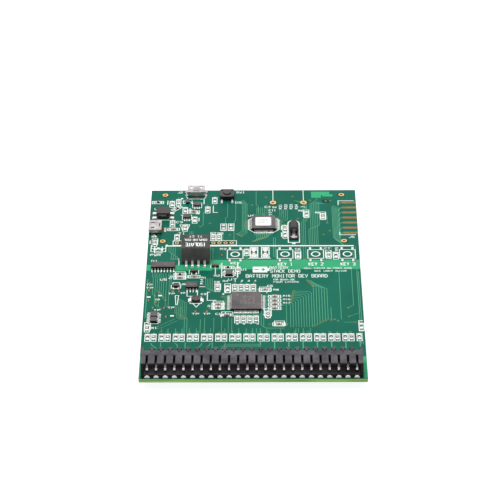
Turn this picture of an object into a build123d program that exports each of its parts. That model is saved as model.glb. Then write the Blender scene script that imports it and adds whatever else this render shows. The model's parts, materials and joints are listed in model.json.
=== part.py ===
"""Battery monitor development board, in millimetres.

The frame: origin on the surface the board stands on, under the middle of the board.
+X runs to the right along the short side, +Y to the rear (the USB end), +Z up.
The wide pluggable header is along the front edge, at -Y.
Every piece is soldered or stuck to the circuit board, except the push button's plunger, which slides down.
"""
from build123d import *
import os

os.makedirs("parts", exist_ok=True)

# ---------------------------------------------------------------- driving dimensions
BOARD_W = 88.0  # along X
BOARD_L = 136.0  # along Y
BOARD_T = 1.6
FOOT_H = 4.0
BOTTOM = FOOT_H  # underside of the circuit board
TOP = FOOT_H + BOARD_T  # component side of the circuit board

HEADER_WAYS = 24
HEADER_PITCH = 3.5
HEADER_X = -0.45  # middle of the header
HEADER_W = (HEADER_WAYS - 1) * HEADER_PITCH + 4.6
HEADER_H = 7.1
HEADER_D = 8.6
HEADER_FRONT = -BOARD_L / 2 + 0.6
HEADER_MID_Y = HEADER_FRONT + HEADER_D / 2
HEADER_REAR = HEADER_FRONT + HEADER_D
HEADER_WALL = 1.1
HEADER_FLOOR = 1.7
PIN_W = 0.8
PIN_Z = 3.4  # middle of the contact pins above the board
TAIL_Y = HEADER_REAR + 1.2
TAIL_LENGTH = 2.4  # below the board

INCH_PITCH = 2.54
CORNER_HOLES_W = 75.9  # the rectangle of plated corner holes
CORNER_HOLES_L = 36.1
CORNER_HOLES_Y = 46.15
PLATED_HOLE_R = 0.6
PLATING = 0.1
RING_T = 0.06
USB_A_HOLES = ((8.4, 58.0), (21.5, 58.0))
SOCKET_ROW = (-20.5, 26.7)
SOCKET_WAYS = 10

FINGER_COUNT = 7
FINGER_PITCH = 3.96
FINGER_L = 6.1
FINGER_W = 1.6
TEST_PAD_L = 1.5
TEST_PAD_W = 0.85
FIDUCIAL_R = 0.55
FINGER_MID_Y = 45.9

REAR_USB = Location((-24.6, BOARD_L / 2, TOP), (0, 0, 0))
SIDE_USB = Location((-BOARD_W / 2, 36.7, TOP), (0, 0, 90))
BUTTON = Location((-11.3, 62.7, TOP))

MONITOR_IC = (-2.8, -17.0)
CONTROLLER_IC = (4.4, 40.5)
TRANSFORMER = (-23.8, 16.6)
DRIVER_IC = (-37.1, 8.5)
MEMORY_IC = (-24.9, -6.0)
CHOKE = Location((-38.3, 47.9, TOP))
RECEIVER = Location((17.0, 35.2, TOP))
POWER_INDUCTOR = Location((-23.1, -15.3, TOP))

CHIP_L = 1.6
CHIP_W = 0.8
CHIP_END = 0.32
RESISTOR_H = 0.5
CAPACITOR_H = 0.8
FILTER_ROW_Y = -40.5
FILTER_PITCH = 5.555  # from one resistor of the filter row to the next
FILTER_FIRST_X = -41.6
FILTER_STEP = 2.45  # from a resistor to its capacitor
FILTER_PAIRS = 15


def spots(places, turn=0, z=TOP):
    """Locations standing on the board at each (x, y)."""
    return [Location((x, y, z), (0, 0, turn)) for x, y in places]


FILTER_X = [FILTER_FIRST_X + i * FILTER_PITCH for i in range(FILTER_PAIRS + 1)]
FILTER_RESISTORS = [(x, FILTER_ROW_Y) for x in FILTER_X]
FILTER_CAPACITORS = [(x + FILTER_STEP, FILTER_ROW_Y) for x in FILTER_X[:-1]]
SUPPLY_CAPACITORS = [(-7.5 + 2.5 * i, -6.0) for i in range(4)] + [(-6.4 + 2.5 * i, -28.2) for i in range(4)]

RESISTORS = (
    spots(FILTER_RESISTORS, 90)
    + spots([(-34.8, 57.2), (-29.1, 52.2), (-16.6, 60.1), (-24.9, 44.7), (-32.0, 31.0), (-2.8, 19.9)], 90)
    + spots([(22.6, 48.8), (34.2, 17.0), (18.5, 17.3), (-10.4, -7.0), (42.8, -33.4), (13.4, 32.9)], 90)
    + spots([(-30.0, 3.2), (-10.4, 8.2)], 0)
    + spots([(-41.0, 58.2)], 30)
    + spots([(-32.7, 53.4)], 45)
)
CAPACITORS = (
    spots(FILTER_CAPACITORS, 90)
    + spots(SUPPLY_CAPACITORS, 90)
    + spots([(-32.1, 58.6), (-19.5, 52.7), (-34.2, 42.0), (-28.8, 38.5), (-16.8, 31.1), (-14.3, 31.1)], 90)
    + spots([(29.6, 47.2), (31.2, 17.5), (13.4, 38.0), (-6.4, 6.6), (-14.5, -6.0), (5.8, -24.8)], 90)
    + spots([(-41.3, 26.9), (-42.0, -34.2)], 90)
    + spots([(8.6, -12.9 - 2.7 * i) for i in range(4)], 0)
    + spots([(-33.6, 37.0), (-25.5, 50.6), (-30.0, 0.7), (4.8, -8.0), (-10.5, -25.8), (-24.2, 1.6)], 0)
    + spots([(-14.1, -18.2), (-14.1, -20.7), (10.2, -32.0)], 0)
)
STATUS_LEDS = spots([(0.2, 19.4), (5.0, 19.4)], 90) + spots([(-39.5, 21.6)], 0)

# three-lead packages: place and turn, the single lead on the package's +Y side
TRANSISTORS = (
    spots([(-24.3, 5.0), (-31.4, -5.6)], 0)
    + spots([(-15.6, 9.0)], 180)
    + spots([(-28.2, 58.4)], 270)
)
# small square packages with three leads on each of two sides
REGULATORS = (
    spots([(-24.1, 55.9), (-28.2, 46.3)], 0)
    + spots([(-9.9, 3.4), (-39.6, -26.0), (-39.6, -29.5)], 90)
)

TEST_PADS = [
    (-42.2, -3.0), (-42.2, -8.1), (-38.2, -9.5), (-32.6, -8.9), (-42.2, -15.2), (-39.2, -16.6),
    (-40.3, -20.4), (-35.8, -20.5), (-23.1, -23.1), (-18.6, -23.1), (-34.8, -26.6), (-30.1, -8.9),
]
FIDUCIALS = [(31.1, 59.0), (-13.0, 17.5)]
FEET = [(-36.0, -48.0), (36.0, -48.0), (-32.0, 58.0), (32.0, 58.0)]
FOOT_R = 4.0


def header_x(count):
    """X of each contact of the front header, or of the half-pitch places between them."""
    first = HEADER_X - (count - 1) / 2 * HEADER_PITCH
    return [first + i * HEADER_PITCH for i in range(count)]


def lead_rows(centre, turns, count, pitch, z=TOP):
    """Locations of leads leaving a package, one row for each turn about its centre."""
    middle = (count - 1) / 2
    frames = [Location((centre[0], centre[1], z), (0, 0, turn)) for turn in turns]
    return [frame * Location((0, (i - middle) * pitch, 0)) for frame in frames for i in range(count)]


def gull_lead(inner, outer, shoulder, thickness, width):
    """One gull-wing lead pointing along +X, from the package side at x = inner to its toe at x = outer."""
    foot = (outer - inner) * 0.5
    knee = inner + (outer - inner) * 0.3
    with BuildPart() as lead:
        with BuildSketch(Plane.XZ):
            with BuildLine():
                Polyline(
                    (inner, shoulder + thickness), (knee, shoulder + thickness),
                    (outer - foot + thickness, thickness), (outer, thickness), (outer, 0),
                    (outer - foot, 0), (knee - thickness, shoulder), (inner, shoulder), close=True,
                )
            make_face()
        extrude(amount=width / 2, both=True)
    return lead.part


def moulded_body(length, width, height, standoff, dimple):
    """A moulded package with drafted sides and a pin-one dimple, standing on z = 0 by its standoff."""
    middle = standoff + (height - standoff) / 2
    with BuildPart() as body:
        with BuildSketch(Plane.XY.offset(middle)) as outline:
            Rectangle(length, width)
            chamfer(outline.vertices(), 0.3)
        extrude(outline.sketch, amount=height - middle, taper=8)
        extrude(outline.sketch, amount=-(middle - standoff), taper=8)
        with Locations((length / 2 - dimple * 2.2, -width / 2 + dimple * 2.2, height)):
            Hole(dimple, 0.08)
    return body.part


# ---------------------------------------------------------------- circuit board
with BuildPart() as circuit_board:
    with BuildSketch(Plane.XY.offset(BOTTOM)) as board_outline:
        Rectangle(BOARD_W, BOARD_L)
        fillet(board_outline.vertices(), 0.5)
    extrude(amount=BOARD_T)
    with BuildSketch(Plane.XY.offset(BOTTOM)):
        with Locations((0, CORNER_HOLES_Y)):
            with GridLocations(CORNER_HOLES_W, CORNER_HOLES_L, 2, 2):
                Circle(PLATED_HOLE_R + PLATING)
        with Locations(*USB_A_HOLES):
            Circle(PLATED_HOLE_R + PLATING)
        with Locations(SOCKET_ROW):
            with GridLocations(INCH_PITCH, 1, SOCKET_WAYS, 1):
                Circle(0.5 + PLATING)
        with Locations(*[(x, TAIL_Y) for x in header_x(HEADER_WAYS)]):
            Circle(PIN_W / 2 + 0.2)
    extrude(amount=BOARD_T, mode=Mode.SUBTRACT)
circuit_board.part.label = "circuit_board"
export_step(circuit_board.part, "parts/circuit_board.step")


# ---------------------------------------------------------------- plated holes and bare gold pads
def eyelet(bore, ring):
    """A plated hole: a barrel through the board with a flat ring on each face, standing on the underside."""
    with BuildPart() as barrel:
        with BuildSketch():
            Circle(bore + PLATING)
        extrude(amount=BOARD_T)
        with BuildSketch(Plane.XY.offset(-RING_T)):
            Circle(ring)
        extrude(amount=RING_T)
        with BuildSketch(Plane.XY.offset(BOARD_T)):
            Circle(ring)
        extrude(amount=RING_T)
        with Locations((0, 0, BOARD_T + RING_T)):
            Hole(bore)
    return barrel.part


with BuildPart() as corner_eyelets:
    with Locations((0, CORNER_HOLES_Y, BOTTOM)):
        with GridLocations(CORNER_HOLES_W, CORNER_HOLES_L, 2, 2):
            add(eyelet(PLATED_HOLE_R, 1.25))
corner_eyelets.part.label = "corner_eyelets"
export_step(corner_eyelets.part, "parts/corner_eyelets.step")

with BuildPart() as usb_a_eyelets:
    with Locations(*spots(USB_A_HOLES, z=BOTTOM)):
        add(eyelet(PLATED_HOLE_R, 1.45))
usb_a_eyelets.part.label = "usb_a_eyelets"
export_step(usb_a_eyelets.part, "parts/usb_a_eyelets.step")

with BuildPart() as socket_row_eyelets:
    with Locations((SOCKET_ROW[0], SOCKET_ROW[1], BOTTOM)):
        with GridLocations(INCH_PITCH, 1, SOCKET_WAYS, 1):
            add(eyelet(0.5, 0.85))
socket_row_eyelets.part.label = "socket_row_eyelets"
export_step(socket_row_eyelets.part, "parts/socket_row_eyelets.step")

with BuildPart() as edge_fingers:
    with BuildSketch(Plane.XY.offset(TOP)):
        with Locations((BOARD_W / 2 - FINGER_L / 2 - 0.05, FINGER_MID_Y)):
            with GridLocations(1, FINGER_PITCH, 1, FINGER_COUNT):
                RectangleRounded(FINGER_L, FINGER_W, 0.3)
    extrude(amount=RING_T)
edge_fingers.part.label = "edge_fingers"
export_step(edge_fingers.part, "parts/edge_fingers.step")

with BuildPart() as test_pads:
    with BuildSketch(Plane.XY.offset(TOP)):
        with Locations(*TEST_PADS):
            SlotOverall(TEST_PAD_L, TEST_PAD_W, rotation=90)
        with Locations(*FIDUCIALS):
            Circle(FIDUCIAL_R)
    extrude(amount=RING_T)
test_pads.part.label = "test_pads"
export_step(test_pads.part, "parts/test_pads.step")

# ---------------------------------------------------------------- front pluggable header
with BuildPart() as header_housing:
    with BuildSketch(Plane.YZ.offset(HEADER_X - HEADER_W / 2)) as shell_section:
        with Locations((HEADER_MID_Y, TOP + HEADER_H / 2)):
            Rectangle(HEADER_D, HEADER_H)
        chamfer(shell_section.vertices(), 0.25)
    extrude(amount=HEADER_W)
    # the open front that the plug goes into, closed at both ends
    with BuildSketch(Plane.YZ.offset(HEADER_X - HEADER_W / 2 + HEADER_WALL)):
        with Locations((HEADER_FRONT, TOP + HEADER_FLOOR)):
            Rectangle(HEADER_D - 1.5, HEADER_H - HEADER_FLOOR - HEADER_WALL, align=(Align.MIN, Align.MIN))
    extrude(amount=HEADER_W - 2 * HEADER_WALL, mode=Mode.SUBTRACT)
    # ribs behind the rear wall, which guard the bent pins between them
    with BuildSketch(Plane.XY.offset(TOP + 0.3)):
        with Locations(*[(x, HEADER_REAR) for x in header_x(HEADER_WAYS + 1)[1:-1]]):
            Rectangle(1.0, 1.4, align=(Align.CENTER, Align.MIN))
        with Locations(*[(x, HEADER_REAR + 1.2) for x in header_x(HEADER_WAYS + 1)[1:-1]]):
            RectangleRounded(1.8, 1.4, 0.4, align=(Align.CENTER, Align.MIN))
        for side in (-1, 1):
            with Locations((HEADER_X + side * (HEADER_W / 2 - 0.5), HEADER_REAR)):
                Rectangle(1.0, 2.6, align=(Align.CENTER, Align.MIN))
    extrude(amount=HEADER_H - 0.7)
    # keying slots in the top wall, in front of each pin
    with BuildSketch(Plane.XY.offset(TOP + HEADER_H)):
        with Locations(*[(x, HEADER_FRONT) for x in header_x(HEADER_WAYS)]):
            Rectangle(0.95, 5.0, align=(Align.CENTER, Align.MIN))
    extrude(amount=-HEADER_WALL, mode=Mode.SUBTRACT)
    # shallow grooves in the top wall, between the pins
    with BuildSketch(Plane.XY.offset(TOP + HEADER_H)):
        with Locations(*[(x, HEADER_REAR - 1.9) for x in header_x(HEADER_WAYS + 1)[1:-1]]):
            SlotOverall(3.0, 0.7, rotation=90)
    extrude(amount=-0.25, mode=Mode.SUBTRACT)
    # raised lip at the rear end of each slot
    with BuildSketch(Plane.XY.offset(TOP + HEADER_H - 0.05)):
        with Locations(*[(x, HEADER_FRONT + 5.35) for x in header_x(HEADER_WAYS)]):
            Rectangle(1.5, 0.6)
    extrude(amount=0.2)
    # round-topped arches under the front edge of the floor
    with BuildSketch(Plane.XZ.offset(-HEADER_FRONT)):
        with Locations(*[(x, TOP) for x in header_x(HEADER_WAYS)]):
            Ellipse(1.1, 1.35)
    extrude(amount=-2.6, mode=Mode.SUBTRACT)
    # square passages of the pins through the rear wall
    with BuildSketch(Plane.XZ.offset(-HEADER_REAR)):
        with Locations(*[(x, TOP + PIN_Z) for x in header_x(HEADER_WAYS)]):
            Rectangle(PIN_W, PIN_W)
    extrude(amount=2.0, mode=Mode.SUBTRACT)
header_housing.part.label = "header_housing"
export_step(header_housing.part, "parts/header_housing.step")

with BuildPart() as header_pin:
    with BuildSketch(Plane.YZ):
        with BuildLine():
            Polyline(
                (HEADER_FRONT + 0.8, PIN_Z - 0.2), (HEADER_FRONT + 1.4, PIN_Z - PIN_W / 2),
                (TAIL_Y - PIN_W / 2, PIN_Z - PIN_W / 2), (TAIL_Y - PIN_W / 2, -BOARD_T - TAIL_LENGTH + 0.4),
                (TAIL_Y - 0.2, -BOARD_T - TAIL_LENGTH), (TAIL_Y + 0.2, -BOARD_T - TAIL_LENGTH),
                (TAIL_Y + PIN_W / 2, -BOARD_T - TAIL_LENGTH + 0.4), (TAIL_Y + PIN_W / 2, PIN_Z + PIN_W / 2),
                (HEADER_FRONT + 1.4, PIN_Z + PIN_W / 2), (HEADER_FRONT + 0.8, PIN_Z + 0.2), close=True,
            )
        make_face()
    extrude(amount=PIN_W / 2, both=True)
with BuildPart() as header_pins:
    with Locations(*spots([(x, 0) for x in header_x(HEADER_WAYS)])):
        add(header_pin.part)
header_pins.part.label = "header_pins"
export_step(header_pins.part, "parts/header_pins.step")


# ---------------------------------------------------------------- micro-USB sockets, mouth at y = 0 facing +Y
USB_W = 7.5
USB_D = 5.4
USB_H = 2.6
USB_WALL = 0.3


def usb_outline(inset):
    """Mouth outline: square upper corners, lower corners cut back."""
    half = USB_W / 2 - inset
    with BuildSketch(Plane.XZ) as outline:
        with BuildLine():
            Polyline(
                (-half, USB_H - inset), (half, USB_H - inset), (half, 1.1), (half - 0.9, inset),
                (-half + 0.9, inset), (-half, 1.1), close=True,
            )
        make_face()
    return outline.sketch


USB_OUTER = usb_outline(0)
USB_INNER = usb_outline(USB_WALL)
USB_BACK_Y = -USB_D + USB_WALL  # inner face of the rear wall

with BuildPart() as usb_shell:
    extrude(USB_OUTER, amount=USB_D)
    extrude(USB_INNER, amount=-USB_BACK_Y, mode=Mode.SUBTRACT)
    # latch windows in the roof and solder tabs on both sides
    with BuildSketch(Plane.XY.offset(USB_H)):
        with Locations((-1.9, -1.7), (1.9, -1.7)):
            Rectangle(0.7, 1.6)
        with Locations((0, -USB_D + 0.9)):
            SlotOverall(2.6, 0.45)
    extrude(amount=-USB_WALL, mode=Mode.SUBTRACT)
    for side in (-1, 1):
        with BuildSketch(Plane.XY):
            with Locations((side * (USB_W / 2 + 0.05), -1.6), (side * (USB_W / 2 + 0.05), -4.4)):
                Rectangle(1.7, 1.2)
        extrude(amount=0.35)
    # gap under the rear wall for the contact tails
    with Locations((0, -USB_D, 0)):
        Box(3.4, 2 * USB_WALL, 0.45 * 2, mode=Mode.SUBTRACT)

with BuildPart() as usb_insulator:
    extrude(USB_INNER.moved(Location((0, USB_BACK_Y + 1.2, 0))), amount=1.2)
    with Locations((0, USB_BACK_Y + 1.2, 1.55)):
        Box(3.6, 3.0, 0.55, align=(Align.CENTER, Align.MIN, Align.CENTER))

with BuildPart() as usb_contact_set:
    with Locations((0, USB_BACK_Y + 1.2, 1.55 - 0.275)):
        with GridLocations(0.65, 1, 5, 1):
            Box(0.25, 2.7, 0.12, align=(Align.CENTER, Align.MIN, Align.MAX))
    # the tails soldered to the board behind the shell
    with Locations((0, USB_BACK_Y, 0)):
        with GridLocations(0.65, 1, 5, 1):
            Box(0.25, 1.3, 0.2, align=(Align.CENTER, Align.MAX, Align.MIN))

with BuildPart() as rear_usb_shell:
    with Locations(REAR_USB):
        add(usb_shell.part)
rear_usb_shell.part.label = "rear_usb_shell"
export_step(rear_usb_shell.part, "parts/rear_usb_shell.step")

with BuildPart() as rear_usb_insulator:
    with Locations(REAR_USB):
        add(usb_insulator.part)
rear_usb_insulator.part.label = "rear_usb_insulator"
export_step(rear_usb_insulator.part, "parts/rear_usb_insulator.step")

with BuildPart() as rear_usb_contacts:
    with Locations(REAR_USB):
        add(usb_contact_set.part)
rear_usb_contacts.part.label = "rear_usb_contacts"
export_step(rear_usb_contacts.part, "parts/rear_usb_contacts.step")

with BuildPart() as side_usb_shell:
    with Locations(SIDE_USB):
        add(usb_shell.part)
side_usb_shell.part.label = "side_usb_shell"
export_step(side_usb_shell.part, "parts/side_usb_shell.step")

with BuildPart() as side_usb_insulator:
    with Locations(SIDE_USB):
        add(usb_insulator.part)
side_usb_insulator.part.label = "side_usb_insulator"
export_step(side_usb_insulator.part, "parts/side_usb_insulator.step")

with BuildPart() as side_usb_contacts:
    with Locations(SIDE_USB):
        add(usb_contact_set.part)
side_usb_contacts.part.label = "side_usb_contacts"
export_step(side_usb_contacts.part, "parts/side_usb_contacts.step")

# ---------------------------------------------------------------- push button
BUTTON_SIZE = 6.0
BASE_H = 1.7
COVER_H = 0.4
PLUNGER_R = 1.65
FLANGE_R = 2.15
CAVITY_R = 2.5
DOME_APEX = 1.0
DOME_RIM_R = 2.3
DOME_RISE = 0.38
DOME_T = 0.1
DOME_SPHERE_R = (DOME_RIM_R**2 + DOME_RISE**2) / (2 * DOME_RISE)


def dome_z(r, depth):
    """Height of the dome at radius r, on the sphere that lies depth inside its outer one."""
    return DOME_APEX - DOME_SPHERE_R + ((DOME_SPHERE_R - depth) ** 2 - r**2) ** 0.5


with BuildPart() as button_base_shape:
    with BuildSketch() as base_outline:
        Rectangle(BUTTON_SIZE, BUTTON_SIZE)
        chamfer(base_outline.vertices(), 0.5)
    extrude(amount=BASE_H)
    with BuildSketch(Plane.XY.offset(BASE_H)):
        Circle(CAVITY_R)
    extrude(amount=-(BASE_H - 0.5), mode=Mode.SUBTRACT)
with BuildPart() as button_base:
    with Locations(BUTTON):
        add(button_base_shape.part)
button_base.part.label = "button_base"
export_step(button_base.part, "parts/button_base.step")

with BuildPart() as button_cover_shape:
    with BuildSketch(Plane.XY.offset(BASE_H)) as cover_outline:
        Rectangle(BUTTON_SIZE, BUTTON_SIZE)
        chamfer(cover_outline.vertices(), 0.5)
        Circle(PLUNGER_R + 0.1, mode=Mode.SUBTRACT)
    extrude(amount=COVER_H)
    # the heads of the four pegs that hold the cover down
    with BuildSketch(Plane.XY.offset(BASE_H + COVER_H)):
        with GridLocations(4.4, 4.4, 2, 2):
            Circle(0.45)
    extrude(amount=0.15)
with BuildPart() as button_cover:
    with Locations(BUTTON):
        add(button_cover_shape.part)
button_cover.part.label = "button_cover"
export_step(button_cover.part, "parts/button_cover.step")

with BuildPart() as button_plunger_shape:
    with BuildSketch(Plane.XZ):
        with BuildLine():
            Polyline(
                (0, DOME_APEX + 0.05), (0.6, DOME_APEX + 0.05), (0.6, BASE_H - 0.4), (FLANGE_R, BASE_H - 0.4),
                (FLANGE_R, BASE_H - 0.05), (PLUNGER_R, BASE_H - 0.05), (PLUNGER_R, 2.4),
                (PLUNGER_R - 0.15, 2.55), (0, 2.55), close=True,
            )
        make_face()
    revolve(axis=Axis.Z)
with BuildPart() as button_plunger:
    with Locations(BUTTON):
        add(button_plunger_shape.part)
button_plunger.part.label = "button_plunger"
export_step(button_plunger.part, "parts/button_plunger.step")

with BuildPart() as button_dome_shape:
    with BuildSketch(Plane.XZ):
        with BuildLine():
            ThreePointArc((0, dome_z(0, 0)), (1.2, dome_z(1.2, 0)), (DOME_RIM_R, dome_z(DOME_RIM_R, 0)))
            Polyline(
                (DOME_RIM_R, dome_z(DOME_RIM_R, 0)), (DOME_RIM_R, 0.5), (DOME_RIM_R - DOME_T, 0.5),
                (DOME_RIM_R - DOME_T, dome_z(DOME_RIM_R - DOME_T, DOME_T)),
            )
            ThreePointArc(
                (DOME_RIM_R - DOME_T, dome_z(DOME_RIM_R - DOME_T, DOME_T)),
                (1.2, dome_z(1.2, DOME_T)), (0, dome_z(0, DOME_T)),
            )
            Line((0, dome_z(0, DOME_T)), (0, dome_z(0, 0)))
        make_face()
    revolve(axis=Axis.Z)
with BuildPart() as button_dome:
    with Locations(BUTTON):
        add(button_dome_shape.part)
button_dome.part.label = "button_dome"
export_step(button_dome.part, "parts/button_dome.step")

BUTTON_LEAD = gull_lead(BUTTON_SIZE / 2, 4.7, 0.55, 0.2, 0.7)
with BuildPart() as button_terminals:
    with Locations(BUTTON):
        with Locations(*lead_rows((0, 0), (90, 270), 2, 4.5, 0)):
            add(BUTTON_LEAD)
button_terminals.part.label = "button_terminals"
export_step(button_terminals.part, "parts/button_terminals.step")

# ---------------------------------------------------------------- large integrated circuits
with BuildPart() as monitor_ic_body:
    with Locations((MONITOR_IC[0], MONITOR_IC[1], TOP)):
        add(moulded_body(12.0, 12.0, 1.2, 0.1, 0.6))
monitor_ic_body.part.label = "monitor_ic_body"
export_step(monitor_ic_body.part, "parts/monitor_ic_body.step")

MONITOR_LEAD = gull_lead(6.0, 7.0, 0.55, 0.12, 0.22)
with BuildPart() as monitor_ic_leads:
    with Locations(*lead_rows(MONITOR_IC, (0, 90, 180, 270), 20, 0.5)):
        add(MONITOR_LEAD)
monitor_ic_leads.part.label = "monitor_ic_leads"
export_step(monitor_ic_leads.part, "parts/monitor_ic_leads.step")

with BuildPart() as controller_ic_body:
    with Locations((CONTROLLER_IC[0], CONTROLLER_IC[1], TOP)):
        add(moulded_body(10.0, 10.0, 1.5, 0.1, 0.5))
controller_ic_body.part.label = "controller_ic_body"
export_step(controller_ic_body.part, "parts/controller_ic_body.step")

CONTROLLER_LEAD = gull_lead(5.0, 6.0, 0.7, 0.12, 0.22)
with BuildPart() as controller_ic_leads:
    with Locations(*lead_rows(CONTROLLER_IC, (0, 90, 180, 270), 16, 0.5)):
        add(CONTROLLER_LEAD)
controller_ic_leads.part.label = "controller_ic_leads"
export_step(controller_ic_leads.part, "parts/controller_ic_leads.step")

with BuildPart() as controller_label:
    with BuildSketch(Plane.XY.offset(TOP + 1.5)):
        with Locations((CONTROLLER_IC[0] - 0.2, CONTROLLER_IC[1] + 0.3)):
            RectangleRounded(6.7, 6.6, 0.8)
    extrude(amount=0.08)
controller_label.part.label = "controller_label"
export_step(controller_label.part, "parts/controller_label.step")

# ---------------------------------------------------------------- small-outline packages
with BuildPart() as driver_ic_body:
    with Locations((DRIVER_IC[0], DRIVER_IC[1], TOP)):
        add(moulded_body(9.9, 3.9, 1.6, 0.15, 0.4))
driver_ic_body.part.label = "driver_ic_body"
export_step(driver_ic_body.part, "parts/driver_ic_body.step")

SOIC_LEAD = gull_lead(1.95, 3.0, 0.75, 0.2, 0.42)
with BuildPart() as driver_ic_leads:
    with Locations(*lead_rows(DRIVER_IC, (90, 270), 8, 1.27)):
        add(SOIC_LEAD)
driver_ic_leads.part.label = "driver_ic_leads"
export_step(driver_ic_leads.part, "parts/driver_ic_leads.step")

with BuildPart() as memory_ic_body:
    with Locations((MEMORY_IC[0], MEMORY_IC[1], TOP)):
        add(moulded_body(4.9, 3.9, 1.6, 0.15, 0.4))
memory_ic_body.part.label = "memory_ic_body"
export_step(memory_ic_body.part, "parts/memory_ic_body.step")

with BuildPart() as memory_ic_leads:
    with Locations(*lead_rows(MEMORY_IC, (90, 270), 4, 1.27)):
        add(SOIC_LEAD)
memory_ic_leads.part.label = "memory_ic_leads"
export_step(memory_ic_leads.part, "parts/memory_ic_leads.step")

REGULATOR_BODY = moulded_body(2.9, 2.8, 1.1, 0.1, 0.2)
with BuildPart() as regulator_bodies:
    with Locations(*REGULATORS):
        add(REGULATOR_BODY)
regulator_bodies.part.label = "regulator_bodies"
export_step(regulator_bodies.part, "parts/regulator_bodies.step")

REGULATOR_LEAD = gull_lead(1.4, 2.2, 0.5, 0.15, 0.4)
with BuildPart() as regulator_leads:
    for place in REGULATORS:
        with Locations(place):
            with Locations(*lead_rows((0, 0), (90, 270), 3, 0.95, 0)):
                add(REGULATOR_LEAD)
regulator_leads.part.label = "regulator_leads"
export_step(regulator_leads.part, "parts/regulator_leads.step")

TRANSISTOR_BODY = moulded_body(2.9, 1.4, 1.0, 0.1, 0.12)
with BuildPart() as transistor_bodies:
    with Locations(*TRANSISTORS):
        add(TRANSISTOR_BODY)
transistor_bodies.part.label = "transistor_bodies"
export_step(transistor_bodies.part, "parts/transistor_bodies.step")

TRANSISTOR_LEAD = gull_lead(0.7, 1.25, 0.45, 0.13, 0.42)
with BuildPart() as transistor_leads:
    for place in TRANSISTORS:
        with Locations(place):
            with Locations(*lead_rows((0, 0), (270,), 2, 1.9, 0), *lead_rows((0, 0), (90,), 1, 1.9, 0)):
                add(TRANSISTOR_LEAD)
transistor_leads.part.label = "transistor_leads"
export_step(transistor_leads.part, "parts/transistor_leads.step")

# ---------------------------------------------------------------- isolation transformer
CASE_W = 11.7
CASE_L = 10.3
CASE_H = 7.6
CASE_WALL = 0.9
CORE_Z = 3.7
with BuildPart() as transformer_case:
    with BuildSketch(Plane.XY.offset(TOP + 0.3)) as case_outline:
        with Locations(TRANSFORMER):
            Rectangle(CASE_W, CASE_L)
        fillet(case_outline.vertices(), 0.4)
    extrude(amount=CASE_H - 0.3)
    chamfer(transformer_case.faces().sort_by(Axis.Z)[-1].edges(), 0.3)
    with BuildSketch(Plane.XY.offset(TOP + 0.3)):
        with Locations(TRANSFORMER):
            Rectangle(CASE_W - 2 * CASE_WALL, CASE_L - 2 * CASE_WALL)
    extrude(amount=CASE_H - 0.3 - CASE_WALL, mode=Mode.SUBTRACT)
transformer_case.part.label = "transformer_case"
export_step(transformer_case.part, "parts/transformer_case.step")

with BuildPart() as transformer_core:
    with BuildSketch(Plane.XY.offset(TOP + CORE_Z - 1.3)):
        with Locations(TRANSFORMER):
            Circle(3.5)
            Circle(1.9, mode=Mode.SUBTRACT)
    extrude(amount=2.6)
transformer_core.part.label = "transformer_core"
export_step(transformer_core.part, "parts/transformer_core.step")

with BuildPart() as transformer_windings:
    with BuildSketch(Plane.XY.offset(TOP + CORE_Z - 1.7)):
        with Locations(TRANSFORMER):
            Circle(3.9)
            Circle(1.5, mode=Mode.SUBTRACT)
            Rectangle(9, 1.6, mode=Mode.SUBTRACT)
    extrude(amount=3.4)
    with BuildSketch(Plane.XY.offset(TOP + CORE_Z - 1.3)):
        with Locations(TRANSFORMER):
            Circle(3.5)
            Circle(1.9, mode=Mode.SUBTRACT)
    extrude(amount=2.6, mode=Mode.SUBTRACT)
transformer_windings.part.label = "transformer_windings"
export_step(transformer_windings.part, "parts/transformer_windings.step")

TRANSFORMER_LEAD = gull_lead(CASE_L / 2, CASE_L / 2 + 2.7, 1.4, 0.4, 0.9)
with BuildPart() as transformer_leads:
    with Locations(*lead_rows(TRANSFORMER, (90, 270), 4, INCH_PITCH)):
        add(TRANSFORMER_LEAD)
transformer_leads.part.label = "transformer_leads"
export_step(transformer_leads.part, "parts/transformer_leads.step")

# ---------------------------------------------------------------- wound choke
CHOKE_W = 5.7
CHOKE_L = 5.1
CHOKE_H = 2.9
with BuildPart() as choke_core_shape:
    with BuildSketch(Plane.XY.offset(0.25)) as foot_flange:
        Rectangle(CHOKE_W, CHOKE_L)
        chamfer(foot_flange.vertices(), 0.6)
    extrude(amount=0.6)
    with BuildSketch(Plane.XY.offset(0.85)):
        Circle(1.6)
    extrude(amount=CHOKE_H - 0.8 - 0.85)
    with BuildSketch(Plane.XY.offset(CHOKE_H - 0.8)) as top_flange:
        Rectangle(CHOKE_W, CHOKE_L)
        chamfer(top_flange.vertices(), 0.6)
    extrude(amount=0.8)
with BuildPart() as choke_core:
    with Locations(CHOKE):
        add(choke_core_shape.part)
choke_core.part.label = "choke_core"
export_step(choke_core.part, "parts/choke_core.step")

with BuildPart() as choke_winding_shape:
    with BuildSketch(Plane.XY.offset(0.85)):
        Circle(2.2)
        Circle(1.6, mode=Mode.SUBTRACT)
    extrude(amount=CHOKE_H - 0.8 - 0.85)
with BuildPart() as choke_winding:
    with Locations(CHOKE):
        add(choke_winding_shape.part)
choke_winding.part.label = "choke_winding"
export_step(choke_winding.part, "parts/choke_winding.step")

with BuildPart() as choke_terminals:
    with Locations(CHOKE):
        with GridLocations(CHOKE_W + 0.4, CHOKE_L - 1.6, 2, 2):
            Box(2.2, 1.2, 0.25, align=(Align.CENTER, Align.CENTER, Align.MIN))
choke_terminals.part.label = "choke_terminals"
export_step(choke_terminals.part, "parts/choke_terminals.step")

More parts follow.
